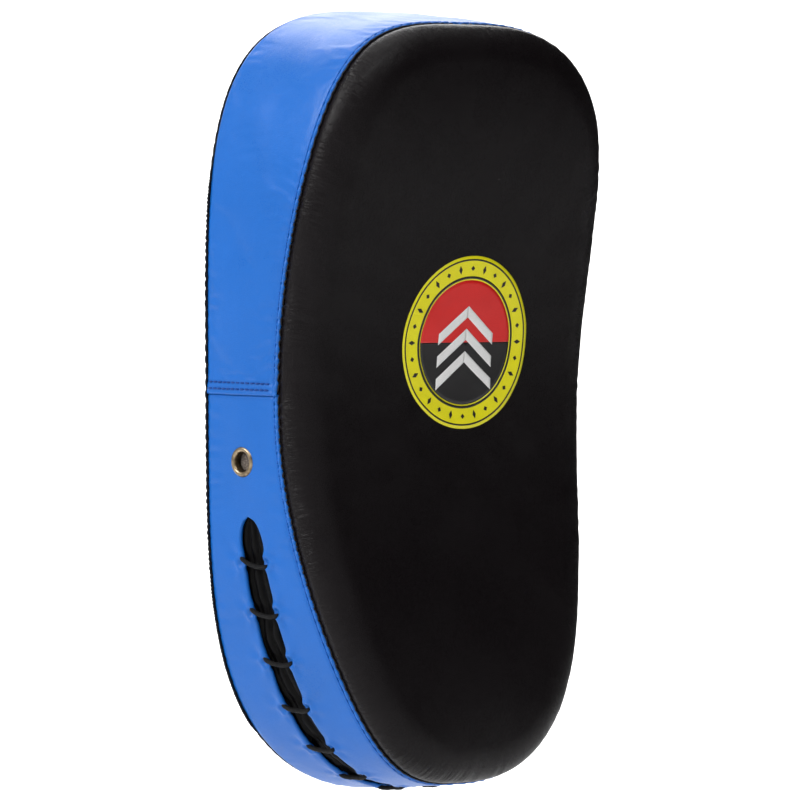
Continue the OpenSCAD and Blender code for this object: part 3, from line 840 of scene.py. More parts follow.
def gusset_lower():
    """The strip round the elbow end, slit along its middle and pierced for the vents."""
    start = JOIN_ARC - JOIN_LAP
    arcs = np.linspace(start, GIRTH - start, SIDE_ROWS)
    from_elbow = np.abs(arcs - ELBOW_ARC)
    rows = []
    for arc, far in zip(arcs, from_elbow):
        width = open_width(arc)
        middle = slit_middle(arc)
        opening = float(slit_opening(arc)) if far < SLIT_REACH else 0.0
        under = JOIN_LAP - (ELBOW_ARC - far - start)
        sunk = 2.2 * MM * ease((under + 1.2 * MM) / (4 * MM))
        halves = []
        for side in (-1, 1):
            outer = -TUCK if side < 0 else width
            inner = middle + side * opening
            steps = edge_steps(abs(inner - outer), 7 * MM, 11, 7)
            from_rear = min(outer, inner) + steps
            here = np.full_like(from_rear, arc)
            offset = np.abs(from_rear - middle)
            height = side_height(here, from_rear, width - from_rear) - sunk
            height += 1.5 * ease(opening / (2.5 * MM)) * folded(offset - opening)
            if far < SLIT_REACH + 8 * MM:
                height += lace_pull(here, offset, side)
            halves.append(on_side(here, from_rear, height))
        rows.append(np.concatenate(halves))
    points = np.array(rows)
    middle_column = points.shape[1] // 2 - 1
    inside = from_elbow < SLIT_REACH

    def in_slit(row, column):
        return column == middle_column and (inside[row] or inside[min(row + 1, len(arcs) - 1)])

    strip = sheet("gusset_lower", points, BLUE, skip=in_slit, stands_for="lower_gusset")
    pin = edge_pin(points, 10, 8, 8)
    pin[inside, middle_column - 3:middle_column + 5] = 1
    settle(strip, pin, 0.008, 1.5, 0.5 * MM)
    tidy(strip, 0.05 * MM)
    with edited(strip) as work:
        for arc in VENT_ARCS:
            centre = Vector(wall_frame(arc)[0])
            gone = [f for f in work.faces if (f.calc_center_median() - centre).length < VENT_R * 0.72]
            bmesh.ops.delete(work, geom=gone, context="FACES")
    thicken(strip, GUSSET_T)


# ---- laced closure ----

def closure_flap():
    """Dark cloth behind the slit, bunched into lengthwise folds."""
    half = 12.5 * MM
    reach = SLIT_REACH + 6 * MM
    offsets = np.linspace(-half, half, 42)
    rows = []
    for arc in np.linspace(ELBOW_ARC - reach, ELBOW_ARC + reach, 300):
        here = np.full_like(offsets, arc)
        from_rear = slit_middle(arc) + offsets
        drift = 1.3 * MM * math.sin(arc / (19 * MM)) + 0.5 * MM * math.sin(arc / (7 * MM))
        pull = sum(bell(arc - a, 5 * MM) for a in LACE_ARCS)
        width = max(2.5 * MM, slit_opening(arc))
        folds = np.abs(np.sin(math.pi * (offsets / width * 1.25 + drift / (5.4 * MM)))) ** 0.6
        crumple = smooth_noise(on_side(here, from_rear, 0 * offsets), 11 * MM, 41)
        height = -4.4 + (2.6 - 1.1 * pull) * folds + 0.35 * crumple - 1.6 * (offsets / half) ** 4
        rows.append(on_side(here, from_rear, height * MM))
    flap = sheet("slit_flap", np.array(rows), FLAP_CLOTH, stands_for="closure_flap")
    thicken(flap, 0.5 * MM)


def closure_lace():
    """One cord, straight across at each crossing and hidden behind the leather in between."""
    climb = ((-1.12, -3.2), (-1.06, -1.2), (-0.95, 0.9), (-0.5, 1.5))
    profile = climb + ((0.0, 1.25),) + tuple((-share, height) for share, height in climb[::-1])
    keys = []
    for index, arc in enumerate(LACE_ARCS):
        side = 1 if index % 2 == 0 else -1
        down = np.sign(ELBOW_ARC - arc)
        lean = random.uniform(1.4, 2.6) * MM * side * down
        sag = 1.6 * MM * down
        for share, height in profile:
            at = arc + lean * share + sag * (1 - share ** 2)
            keys.append(on_side(at, slit_middle(arc) + side * share * HOLE_OUT, height * MM))
        for at in (arc + LACE_STEP * share for share in (0.33, 0.67)):
            keys.append(on_side(at, slit_middle(at) + side * 1.1 * HOLE_OUT, -3.6 * MM))
    path = resample(curve_through(keys[:-2]), 0.9 * MM)
    twist = 1 + 0.05 * np.sin(np.arange(len(path)) * 1.9)
    tube("lace_cord", path, LACE_R * twist, LACE_CORD, 14, stands_for="closure_lace")


def inner_parts():
    """Finishes of the CAD solids that stay inside the casing."""
    for node, material in {"strike_foam": SOFT_FOAM, "core_foam": DENSE_FOAM, "rear_board": FOAM_BOARD,
                           "vent_washers": BRASS, "rivet_burrs": STEEL}.items():
        paint(frame["nodes"][node].data, material)


# ---- vents ----

def lathe(name, profile, centre, axis, material, **options):
    """Turns a closed profile of (radius, height) pairs about an axis."""
    axis = np.asarray(axis, float)
    u = unit(np.cross(axis, [0.3, 0.2, 1.0]))
    v = np.cross(axis, u)
    spokes = [math.cos(a) * u + math.sin(a) * v for a in np.linspace(0, 2 * math.pi, 72, endpoint=False)]
    points = np.array([[centre + r * spoke + h * axis for r, h in profile] for spoke in spokes])
    obj = sheet(name, points, material, wrap_rows=True, wrap_cols=True, **options)
    tidy(obj, 0.005 * MM)


def vents():
    """A rolled brass eyelet over a foam plug on each side."""
    flange = VENT_R * 0.96
    bore = flange - 2.7 * MM
    depth = -4.2 * MM
    crown = [(bore + (flange - bore) * (0.5 + 0.5 * math.cos(a)), 0.35 * MM + 1.3 * MM * math.sin(a))
             for a in np.linspace(0, math.pi, 16)]
    barrel = [(bore, depth), (bore + 0.7 * MM, depth), (bore + 0.7 * MM, 0.1 * MM)]
    eyelet = [(flange - 0.2 * MM, 0.1 * MM)] + crown + barrel
    dome = [(bore * 1.02 * math.sin(a), -3.4 * MM + 1.2 * MM * math.cos(a))
            for a in np.linspace(0.01, math.pi / 2, 10)]
    plug = dome + [(bore * 1.02, depth), (0.05 * MM, depth)]
    for number, arc in enumerate(VENT_ARCS, 1):
        centre, normal = wall_frame(arc)
        centre = centre + normal * 0.55 * MM
        lathe(f"vent_eyelet_{number}", eyelet, centre, normal, BRASS,
              stands_for="vent_eyelets" if number == 1 else "")
        lathe(f"vent_foam_{number}", plug, centre, normal, VENT_FOAM)


# ---- seam stitching ----

def side_stitches():
    """Rows along both edges of the blue side, and two across each lap."""
    arcs = resample(np.stack([np.linspace(0, GIRTH, 700), np.zeros(700)], 1), 1.5 * MM)[:-1, 0]
    sunk = rolled_back(wall(turn_at(arcs), 0)[:, 2])
    width = open_width(arcs)
    for name, from_rear, height, material, pitch, radius in (
            ("front_edge", width - 2.4 * MM, 0.28, EDGE_THREAD, STITCH, 0.30 * MM),
            ("front_seam", width + 0.2 * MM, -0.5, BLACK_THREAD, SEAM_PITCH, 0.42 * MM),
            ("rear_seam", -0.5 * MM, 0.35 - 2.4 * sunk, BLACK_THREAD, SEAM_PITCH, 0.5 * MM)):
        path = on_side(arcs, from_rear, height * MM + 0 * arcs)
        stitches(f"{name}_stitches", path, wall_frame(arcs)[1], material, closed=True, pitch=pitch,
                 radius=radius)
    for side, word in SIDES:
        for number, row in enumerate(JOIN_ROWS, 1):
            arc = side * (JOIN_ARC - row)
            width = open_width(arc)
            across = np.linspace(1.5 * MM, width - 4.5 * MM, 40)
            here = np.full_like(across, arc)
            path = on_side(here, across, upper_height(here, across, width) + 0.25 * MM)
            stitches(f"join_stitches_{word}_{number}", path, wall_frame(here)[1], NAVY_THREAD)


# ---- rear cover ----

def rear_panel():
    """Black panel: it wraps over the edge, ends in a cut edge on the side, and lies flat behind."""
    normal = wall_frame(FACE_ARCS)[1]
    hidden = rolled_back(wall(FACE_TURNS, 0)[:, 2])
    reach = LIP * (0.2 + 1.3 * scallop(FACE_ARCS)) * (1 - 0.8 * hidden)
    columns = []
    for back, height in ((0.0, -0.8), (0.0, -0.1), (0.3, 0.15), (0.8, 0.2)):
        ahead = (reach - back * MM) / side_width(FACE_ARCS)
        columns.append(wall(FACE_TURNS, ahead) + normal * ((height - 0.9 * hidden) * MM)[:, None])
    for roll in np.linspace(0, 1, 12) * math.pi / 2:
        inset = REAR_ROUND * (1 - math.cos(roll)) + (0.9 * hidden - 0.1) * MM * math.cos(roll)
        columns.append(upright(rear_outline(FACE_TURNS, inset), BODY_Y + REAR_CROWN * math.sin(roll)))
    x, y, z = columns[-1].T
    for k in 1 - np.linspace(0, 1, 34)[1:] ** 0.95:
        columns.append(np.stack([x * k, y, z * k], 1))
    points = np.stack(columns, 1)
    relief = 0.35 * MM * smooth_noise(points, 40 * MM, 51) - 0.4 * MM
    points[..., 1] += relief * ease((points[..., 1] - BODY_Y) / REAR_CROWN)
    tidy(sheet("rear_panel", points, BLACK, wrap_rows=True, stands_for="rear_cover"))


# ---- crest: a plain badge of rings, marks and chevrons ----

class Badge:
    """Prints flat shapes onto the striking face, each a hair above the one before."""

    def __init__(self, face):
        face.data.update()
        self.tree = BVHTree.FromPolygons([v.co for v in face.data.vertices],
                                         [p.vertices for p in face.data.polygons])
        low, high = low_high("crest_print")
        self.middle = (low + high) / 2
        self.half = (high - low) / 2

    def lay(self, name, flat, material, layer, wrap_rows=False, stands_for=""):
        """flat holds places as shares of the badge's half width and half height."""
        points = np.zeros(flat.shape[:-1] + (3,))
        for index in np.ndindex(flat.shape[:-1]):
            x, z = self.middle[[0, 2]] + self.half[[0, 2]] * flat[index]
            hit = self.tree.ray_cast(Vector((x, FACE_LOW[1] - 0.05, z)), Vector((0, 1, 0)))[0]
            points[index] = (x, hit.y - (0.10 + 0.06 * layer) * MM, z)
        obj = sheet(name, points, material, wrap_rows=wrap_rows, stands_for=stands_for)
        tidy(obj)
        if obj.data.polygons[0].normal.y > 0:
            obj.data.flip_normals()
        with_modifier(obj, "SOLIDIFY", thickness=0.05 * MM, offset=-1.0)

    def ring(self, name, outer, inner, material, layer, turns=(0.0, 1.0), **options):
        """A band between two radii, which runs between two shares of a turn."""
        whole = turns == (0.0, 1.0)
        angle = 2 * math.pi * np.linspace(*turns, 120, endpoint=not whole)[:, None]
        radius = np.linspace(outer, inner, max(3, round((outer - inner) * 24)))
        flat = np.stack([radius * np.sin(angle), radius * np.cos(angle)], -1)
        self.lay(name, flat, material, layer, wrap_rows=whole, **options)

    def bar(self, name, corners, material, layer):
        """A four-sided shape; corners run round it."""
        a, b, c, d = np.array(corners, float)
        s = np.linspace(0, 1, 14)[:, None, None]
        t = np.linspace(0, 1, 6)[None, :, None]
        self.lay(name, (a * (1 - s) + b * s) * (1 - t) + (d * (1 - s) + c * s) * t, material, layer)


def crest(face):
    """A yellow ring with small marks round a red and a black half, with three white chevrons."""
    badge = Badge(face)
    badge.ring("badge_ring", 1.0, 0.72, YELLOW_INK, 0, stands_for="crest_print")
    badge.ring("badge_upper_field", 0.72, 0.0, RED_INK, 0, (-0.25, 0.25))
    badge.ring("badge_lower_field", 0.72, 0.0, BLACK_INK, 0, (0.25, 0.75))
    badge.ring("badge_outer_line", 0.965, 0.945, BLACK_INK, 1)
    badge.ring("badge_inner_line", 0.765, 0.735, BLACK_INK, 1)
    marks = 28
    for k in range(marks):
        angle = 2 * math.pi * k / marks
        long, wide = (0.052, 0.026) if k % 2 else (0.030, 0.030)
        radial = np.array([math.sin(angle), math.cos(angle)])
        sideways = np.array([math.cos(angle), -math.sin(angle)])
        steps = (long * radial, wide * sideways, -long * radial, -wide * sideways)
        badge.bar(f"badge_mark_{k + 1:02d}", [0.855 * radial + step for step in steps], BLACK_INK, 2)
    for k, rise in enumerate((0.20, -0.06, -0.32), 1):
        for side, word in SIDES:
            top = [(0.0, rise + 0.22), (side * 0.44, rise - 0.10)]
            corners = top + [(x, z - 0.13) for x, z in top[::-1]]
            badge.bar(f"badge_chevron_{k}_{word}", corners, WHITE_INK, 3)


# ---- cushions on the arm side ----

def rounded_rectangle(width, height, corner, count=240):
    """Count evenly spaced points round a rectangle with round corners, in its own plane."""
    points = []
    for turn, (sx, sz) in enumerate(((1, 1), (-1, 1), (-1, -1), (1, -1))):
        centre = (sx * (width / 2 - corner), sz * (height / 2 - corner))
        points += arc_points(centre, corner, 90 * turn, 90 * turn + 90, 9)
    around = np.sum(np.linalg.norm(points - np.roll(points, 1, 0), axis=1))
    return resample(points, around / count, closed=True)


def cushion(name, corner=12 * MM):
    """Stuffed leather cushion: remeshed, blown up as cloth, then piped and stitched down."""
    foam, cover = f"{name}_foam", f"{name}_cover"
    low, high = low_high(cover)
    middle = (low + high) / 2
    width, _, height = high - low
    foam_low, foam_high = low_high(foam)
    size = (foam_high - foam_low)[[0, 2]]
    shape = add_object(name, frame["nodes"][foam].data.copy())
    points = get_points(shape)
    points[:, [0, 2]] *= 1 - 1.0 * MM / size
    points[:, 1] += low[1] - points[:, 1].min()
    set_points(shape, points)
    with_modifier(shape, "REMESH", mode="VOXEL", voxel_size=4.2 * MM)
    paint(shape.data, BLACK)
    points = get_points(shape)
    across = np.clip(np.abs(points - middle)[:, [0, 2]] / (size / 2), 0, 1)
    dome = np.sqrt((1 - across[:, 0] ** 4) * (1 - across[:, 1] ** 6))
    points[:, 1] = low[1] + (points[:, 1] - low[1]) * (0.66 + 0.40 * dome)
    set_points(shape, points)
    pin = (points[:, 1] < low[1] + 2.0 * MM).astype(float)
    settle(shape, pin, 0.0, 4.0, 1.6 * MM, stiffness=9.0, bend=0.3)
    with_modifier(shape, "SUBSURF", levels=1)
    points = get_points(shape)
    rise = (points[:, 1] - low[1]) / (high[1] - low[1])
    from_edge = np.min(size / 2 - np.abs(points - middle)[:, [0, 2]], axis=1)
    crumple = 0.35 * smooth_noise(points, 7 * MM, 62) * (1 - np.clip(from_edge / (16 * MM), 0, 1))
    points[:, 1] += MM * (0.30 * smooth_noise(points, 22 * MM, 61) + crumple) * rise
    set_points(shape, points)
    shape.data.shade_smooth()
    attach(shape, "pad")
    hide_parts(cover)
    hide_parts(foam)
    piping = 1.4 * MM
    flat = rounded_rectangle(width - 2 * piping, height - 2 * piping, corner)
    tube(f"{name}_piping", upright(flat.T, low[1] + 1.1 * MM, middle), piping, BLUE, closed=True)
    flat = rounded_rectangle(width + 2.6 * MM, height + 2.6 * MM, corner + 1.3 * MM)
    path = upright(flat.T, REAR_Y + 0.15 * MM, middle)
    stitches(f"{name}_stitches", path, (0, 1, 0), closed=True)


# ---- ribbons: webbing, tapes and leather strips ----

RIBBON_STEP = 1.4 * MM  # distance between the rows of points along a strip


def ribbon(name, path, across, width, thickness, material, bead=0.12, **options):
    """A flat strip along a path; across is its width direction. It carries its weave's places."""
    path = resample(path, RIBBON_STEP)
    normal = unit(np.cross(unit(np.gradient(path, axis=0)), across))
    half = width / 2
    c = np.linspace(-1, 1, 26)
    edge = np.sqrt(np.clip(1 - np.clip((np.abs(c) - 1) * half / (thickness / 2) + 1, 0, 1) ** 2, 0, 1))
    depth = thickness / 2 * (1 - bead + bead * bell(np.abs(c) - 0.94, 0.08)) * np.maximum(edge, 0.25)
    sideways = np.concatenate([c, c[::-1]]) * half
    height = np.concatenate([depth, -depth[::-1]])
    place = path[:, None, :] + 0 * sideways[None, :, None]
    height = height + 0.10 * MM * smooth_noise(place, 30 * MM, 71)
    rings = place + sideways[:, None] * np.array(across) + height[..., None] * normal[:, None, :]
    rows, cols = height.shape
    obj = piece(name, rings.reshape(-1, 3), rod_faces(rows, cols), material, **options)
    along, sideways = np.meshgrid(np.arange(rows) * RIBBON_STEP, sideways, indexing="ij")
    set_values(obj, "weave", np.stack([along, sideways, 0 * along], -1))
    return path, normal


def bezier(p, q, r, s, count=9):
    """Points along a cubic curve."""
    p, q, r, s = (np.array(v, float) for v in (p, q, r, s))
    return [tuple((1 - t) ** 3 * p + 3 * (1 - t) ** 2 * t * q + 3 * (1 - t) * t * t * r + t ** 3 * s)
            for t in np.linspace(0, 1, count)]


STRAP_T = 1.8 * MM      # thickness of the strap's webbing
TAPE_T = 0.8 * MM       # thickness of the hook and the loop tape
TAB_T = 1.6 * MM        # thickness of the ring tab's webbing
WIRE_R = 2.0 * MM       # radius of the ring's wire
FOLD = 5.1 * MM         # middle radius of the strap's turn round the ring
FILLET = 7 * MM         # bend where the strap leaves the rear cover
ARCH_A = 52 * MM        # half the arch's span
MEET = 10               # degrees up the arch where the strap turns down to the ring
FOOT_X = 79 * MM        # how far out the sewn ends reach


class Strap:
    """One arm strap: band, ring, tab, turned-back tail, hook and loop tapes and patches."""

    def __init__(self, which):
        self.which = which
        low, high = low_high(f"{which}_strap_band")
        self.z = (low[2] + high[2]) / 2
        self.width = high[2] - low[2]
        self.foot_y = SEWN_Y + STRAP_T / 2
        self.arch_y = self.foot_y + FILLET
        self.arch_b = high[1] - STRAP_T / 2 - self.arch_y
        self.ring_pivot = joint(f"{which}_ring_tilt")[:2]
        self.tail_root = joint(f"{which}_tail_peel")[:2]
        self.bar_top = self.tail_root - np.array([FOLD, STRAP_T])

    def arch(self, angle, off=0.0):
        """Point of the band's arch at an angle in degrees, and off outwards from it."""
        a = math.radians(angle)
        n = unit(np.array([math.cos(a) / ARCH_A, math.sin(a) / self.arch_b]))
        return tuple(np.array([ARCH_A * math.cos(a), self.arch_y + self.arch_b * math.sin(a)]) + off * n)

    def arches(self, start, end, count, off=0.0):
        """Points along the arch."""
        return [self.arch(a, off) for a in np.linspace(start, end, count)]

    def strip(self, part, node, flat, width, thickness, material, body="pad"):
        """A ribbon that stands for one of the strap's CAD nodes."""
        path = np.array([(x, y, self.z) for x, y in flat])
        return ribbon(f"{self.which}_{part}", path, (0, 0, 1), width, thickness, material, body=body,
                      stands_for=f"{self.which}_{node}")

    def sew(self, part, path, normal, half, lift, body):
        """Stitch rows along both edges and across both ends of a strip's outer side."""
        top = path - normal * lift
        loop = np.vstack([top + [0, 0, half], (top - [0, 0, half])[::-1]])
        out = -np.vstack([normal, normal[::-1]])
        stitches(f"{self.which}_{part}_stitches", loop, out, body=body, closed=True)

    def band(self):
        """Webbing arch from its foot over the arm and round the ring."""
        flat = [(-FOOT_X, self.foot_y)]
        flat += arc_points((-ARCH_A - FILLET, self.arch_y), FILLET, -90, 0, 8)
        flat += self.arches(176, MEET, 44)
        flat += arc_points(self.bar_top, FOLD, 190, 360, 16)
        self.strip("webbing", "strap_band", flat, self.width, STRAP_T, WEBBING)

    def tapes(self):
        """Loop tape sewn onto the band, and hook tape on the tail."""
        off = STRAP_T / 2 + 0.2 * MM + TAPE_T / 2
        width = self.width - 6 * MM
        flat = self.arches(38, 150, 40, off)
        path, normal = self.strip("loop_tape", "loop_patch", flat, width, TAPE_T * 1.1, LOOP_PILE)
        self.sew("loop_tape", path[3:-3], normal[3:-3], width / 2 - 3 * MM, TAPE_T / 2 + 0.1 * MM, "pad")
        flat = self.arches(42, 104, 24, off + TAPE_T + 0.15 * MM)
        self.strip("hook_tape", "hook_patch", flat, width, TAPE_T, HOOK_PILE, f"{self.which}_tail")

    def tail(self):
        """Free end, turned back over the band, with a raised tip to pull at."""
        off = STRAP_T + 2 * TAPE_T + 0.4 * MM
        start = np.array(self.arch(36, off))
        lead = 9 * MM * unit(np.array(self.arch(37, off)) - start)
        flat = bezier(self.tail_root, self.tail_root + [0, 9 * MM], start - lead, start, 12)
        flat += self.arches(38, 112, 26, off)
        flat += [tuple(flat[-1] + np.array(step) * MM) for step in ((-5, 0.3), (-9, 1.4))]
        body = f"{self.which}_tail"
        path, normal = self.strip("tail_webbing", "strap_tail", flat, self.width, STRAP_T, WEBBING, body)
        arcs = np.arange(len(path)) * RIBBON_STEP
        sewn = (arcs > 24 * MM) & (arcs < arcs[-1] - 13 * MM)
        lift = STRAP_T / 2 + 0.02 * MM
        self.sew("tail", path[sewn], normal[sewn], self.width / 2 - 6 * MM, lift, body)
        end = path[-3] - normal[-3] * lift
        half = self.width / 2 - 3 * MM
        for number, back in ((1, 0), (2, 3 * MM)):
            middle = end + unit(path[-6] - path[-3]) * back
            bar = np.array([middle + [0, 0, half * s] for s in np.linspace(-1, 1, 30)])
            stitches(f"{self.which}_tail_tip_stitches_{number}", bar, -normal[-3], body=body)

    def ring(self):
        """Rectangular wire ring, leaning from its tab to the band."""
        low, high = low_high(f"{self.which}_ring")
        arm = self.bar_top - self.ring_pivot
        lean = unit(arm)
        middle = (self.bar_top + self.ring_pivot) / 2
        flat = rounded_rectangle(np.linalg.norm(arm), high[2] - low[2] - 2 * WIRE_R, 4 * MM, 150)
        path = np.array([(*(middle + lean * u), self.z + v) for u, v in flat])
        tube(f"{self.which}_wire_ring", path, WIRE_R * 0.98, STEEL, 20, closed=True,
             body=f"{self.which}_ring", stands_for=f"{self.which}_ring")

    def tab(self):
        """Doubled webbing that holds the ring."""
        lower = SEWN_Y + TAB_T / 2
        upper = lower + TAB_T + 0.1 * MM
        r = WIRE_R + 0.4 * MM + TAB_T / 2
        x, y = self.ring_pivot
        flat = [(FOOT_X, lower)] + arc_points((x, y), r, 270, 105, 16)
        flat += bezier((x, y + r), (x + 4 * MM, y + r), (x + 5 * MM, upper), (x + 9 * MM, upper))
        flat += [(FOOT_X, upper)]
        self.strip("ring_tab_webbing", "ring_tab", flat, self.width, TAB_T, WEBBING)
        half = self.width / 2 - 4 * MM
        box_stitch(f"{self.which}_tab_box", (x + 8.5 * MM, FOOT_X - 2 * MM),
                   (self.z - half, self.z + half), upper + TAB_T / 2)

    def patch(self):
        """Leather patch over the band's sewn foot."""
        low, high = low_high(f"{self.which}_strap_patch")
        plate(f"{self.which}_foot_patch", low, high, 4 * MM, f"{self.which}_strap_patch")
        box_stitch(f"{self.which}_foot_box", (low[0] + 2.6 * MM, high[0] - 2.6 * MM),
                   (low[2] + 3 * MM, high[2] - 3 * MM), high[1])

    def build(self):
        self.band()
        self.tapes()
        self.tail()
        self.ring()
        self.tab()
        self.patch()


def box_stitch(name, x_range, z_range, y):
    """Rectangle of stitches, with a cross inside it where there is room."""
    (x0, x1), (z0, z1) = x_range, z_range
    corners = np.array([(x, y + 0.05 * MM, z) for x, z in ((x0, z0), (x1, z0), (x1, z1), (x0, z1))])
    stitches(f"{name}_frame", resample(corners, 1 * MM, closed=True), (0, 1, 0), closed=True)
    if x1 - x0 > 8 * MM:
        for number, ends in ((1, corners[[0, 2]]), (2, corners[[1, 3]])):
            stitches(f"{name}_cross_{number}", resample(ends, 1 * MM), (0, 1, 0))


def plate(name, low, high, corner, node):
    """Flat leather patch with a folded, rounded edge."""
    middle = (low + high) / 2
    width, thick, height = high - low
    rings = []
    for inset, rise in ((0, 0), (0, 0.35), (0.3, 0.8), (0.9, 1.05), (1.8, 1.0), (2.6, 0.82), (3.4, 1.0)):
        inset *= MM
        flat = rounded_rectangle(width - 2 * inset, height - 2 * inset, corner - inset * 0.8, 150)
        rings.append(upright(flat.T, low[1] + thick * rise, middle))
    for k in (0.75, 0.45, 0.15, 0.0):
        rings.append(upright(flat.T * k, high[1], middle))
    points = np.stack(rings, 1)
    points[..., 1] += 0.08 * MM * smooth_noise(points, 9 * MM, 81)
    tidy(sheet(name, points, GRIP_LEATHER, wrap_rows=True, stands_for=node))


# ---- handle ----

def tube_along_x(name, xs, radius, centre, relief, material, sides=72, **options):
    """Turned shape along X that rides on the handle. relief(x, angle) is added to its radius."""
    xs, angle = np.meshgrid(xs, np.linspace(0, 2 * math.pi, sides, endpoint=False), indexing="ij")
    grid = np.asarray(radius)[:, None] + relief(xs, angle)
    points = np.stack([xs, centre[1] + grid * np.cos(angle), centre[2] + grid * np.sin(angle)], -1)
    tidy(sheet(name, points, material, wrap_cols=True, body="handle", **options))


def handle():
    """Stiff roll between the two saddles, with a wrapped grip and its end bands."""
    pivot = joint("handle_swing")
    core_low, core_high = low_high("handle_core")
    grip_low, grip_high = low_high("handle_grip")
    saddle_low, _ = low_high("right_handle_saddle")
    foot_r = (core_high[2] - core_low[2]) / 2
    reach = grip_high[0]
    rise = core_high[1] - foot_r - pivot[1]
    half = reach + 4 * MM
    bend = (saddle_low[0] - half) / 2
    right = [(0.0, rise)] + arc_points((half, rise - bend), bend, 90, 0)
    right += arc_points((half + 2 * bend, bend), bend, 180, 270) + [(core_high[0], 0.0)]
    flat = [(-x, y) for x, y in right[:0:-1]] + right
    step = 1.5 * MM
    path = resample(np.array([(x, pivot[1] + y, pivot[2]) for x, y in flat]), step)
    turns = 2 * math.pi * np.arange(len(path)) * step
    swell = 1 + 0.012 * np.sin(turns / (5.5 * MM)) + 0.008 * np.sin(turns / (17 * MM))
    tube("handle_roll", path, foot_r * 0.97 * swell, GRIP_LEATHER, 32, body="handle",
         slot="black_webbing", stands_for="handle_core")
    out = np.cross(unit(np.gradient(path, axis=0)), (0, 0, 1.0))
    out = np.where(out[:, 1:2] + 0.3 * np.sign(path[:, :1]) * out[:, :1] < 0, -out, out)
    seam = path + out * foot_r * 0.99
    for side, word in SIDES:
        part = side * path[:, 0] > half
        stitches(f"handle_roll_stitches_{word}", seam[part], out[part], body="handle")
    centre = (0, (grip_high[1] + grip_low[1]) / 2, pivot[2])
    grip(centre, reach, (grip_high[2] - grip_low[2]) / 2)
    end_bands(centre, reach, foot_r)
    saddles(pivot, foot_r)


def grip(centre, reach, radius):
    """Padded sleeve, wrapped in a spiral of leather tape."""
    pitch = 13 * MM

    def wrap(x, angle):
        """Relief of the tape's overlapping turns."""
        turn = np.mod(x / pitch + angle / (2 * math.pi), 1.0)
        return 0.55 * MM * (ease(turn / 0.06) * (1 - 0.55 * turn) - 0.3 + 0.25 * bell(turn - 0.09, 0.05))

    share = np.linspace(-1, 1, 150)
    barrel = radius * (0.955 + 0.035 * np.cos(share * math.pi / 2))
    barrel = barrel - 2.2 * MM * bell(1 - np.abs(share), 0.035)
    tube_along_x("grip_wrap", share * reach, barrel, centre, wrap, GRIP_LEATHER, sides=96,
                 stands_for="handle_grip")


def end_bands(centre, reach, foot_r):
    """Blue bands over the grip's two ends, each with a row of stitches."""
    low, high = low_high("grip_end_bands")
    radius = (high[2] - low[2]) / 2
    share = np.linspace(-1, 1, 16)
    ring = radius * (1 - 0.05 * share ** 2) + 0.5 * MM - 1.6 * MM * np.abs(share) ** 6
    ring = np.concatenate([[foot_r], ring, [foot_r]])
    share = np.concatenate([[-1], share, [1]]) * (high[0] - reach + 1.5 * MM)
    for side, word in SIDES:
        middle = side * (reach + 0.2 * MM)
        tube_along_x(f"grip_band_{word}", middle + share, ring, centre,
                     lambda x, a: 0.06 * MM * np.sin(9 * a + 400 * x), BLUE,
                     stands_for="grip_end_bands" if side > 0 else "")
        out = np.array([(0, math.cos(a), math.sin(a))
                        for a in np.linspace(0, 2 * math.pi, 90, endpoint=False)])
        loop = out * (radius + 0.5 * MM) + (middle, centre[1], centre[2])
        stitches(f"grip_band_{word}_stitches", loop, out, NAVY_THREAD, body="handle", closed=True,
                 pitch=2.8 * MM)


def saddles(pivot, foot_r):
    """Leather loops over the handle's feet, each held by two rivets."""
    thick = 1.9 * MM
    flange = SEWN_Y + thick / 2
    loop_r = foot_r + 0.35 * MM + thick / 2
    for _, word in SIDES:
        low, high = low_high(f"{word}_handle_saddle")
        middle = (low[0] + high[0]) / 2
        side = [((low[2] - high[2]) / 2, flange), (-15 * MM, flange), (-11 * MM, flange + 0.3 * MM),
                (-loop_r - 0.9 * MM, pivot[1] - 2.2 * MM)]
        top = [(-loop_r * math.cos(a), pivot[1] + loop_r * math.sin(a))
               for a in np.linspace(0.15, math.pi - 0.15, 11)]
        keys = side + top + [(-z, y) for z, y in side[::-1]]
        path = curve_through([(middle, y, pivot[2] + z) for z, y in keys])
        ribbon(f"saddle_{word}", path, (1, 0, 0), high[0] - low[0], thick, GRIP_LEATHER,
               bead=0.02, stands_for=f"{word}_handle_saddle")
    low, high = low_high("saddle_rivets")
    head_r = 4 * MM
    z_off = (high[2] - low[2]) / 2 - head_r
    x_off = high[0] - head_r
    dome = [(head_r * math.sin(a), 1.5 * MM * math.cos(a)) for a in np.linspace(0.02, math.pi / 2, 12)]
    profile = dome + [(head_r, -0.4 * MM), (0.4 * MM, -0.4 * MM)]
    places = [(x, REAR_Y + 2.5 * MM, pivot[2] + z) for x in (-x_off, x_off) for z in (-z_off, z_off)]
    for number, place in enumerate(places, 1):
        lathe(f"rivet_head_{number}", profile, place, (0, 1, 0), STEEL,
              stands_for="saddle_rivets" if number == 1 else "")


def panel_stitches():
    """Row of stitches just inside the rear panel's edge."""
    path = upright(rear_outline(FACE_TURNS, 9.5 * MM), REAR_Y - 0.25 * MM)
    stitches("panel_edge_stitches", path, (0, 1, 0), closed=True)


face = striking_face()
gusset_upper()
gusset_lower()
closure_flap()
closure_lace()
vents()
side_stitches()
rear_panel()
panel_stitches()
crest(face)
cushion("forearm_cushion")
cushion("knuckle_cushion")
Strap("upper").build()
Strap("lower").build()
handle()
inner_parts()


# ---- room, light and camera ----

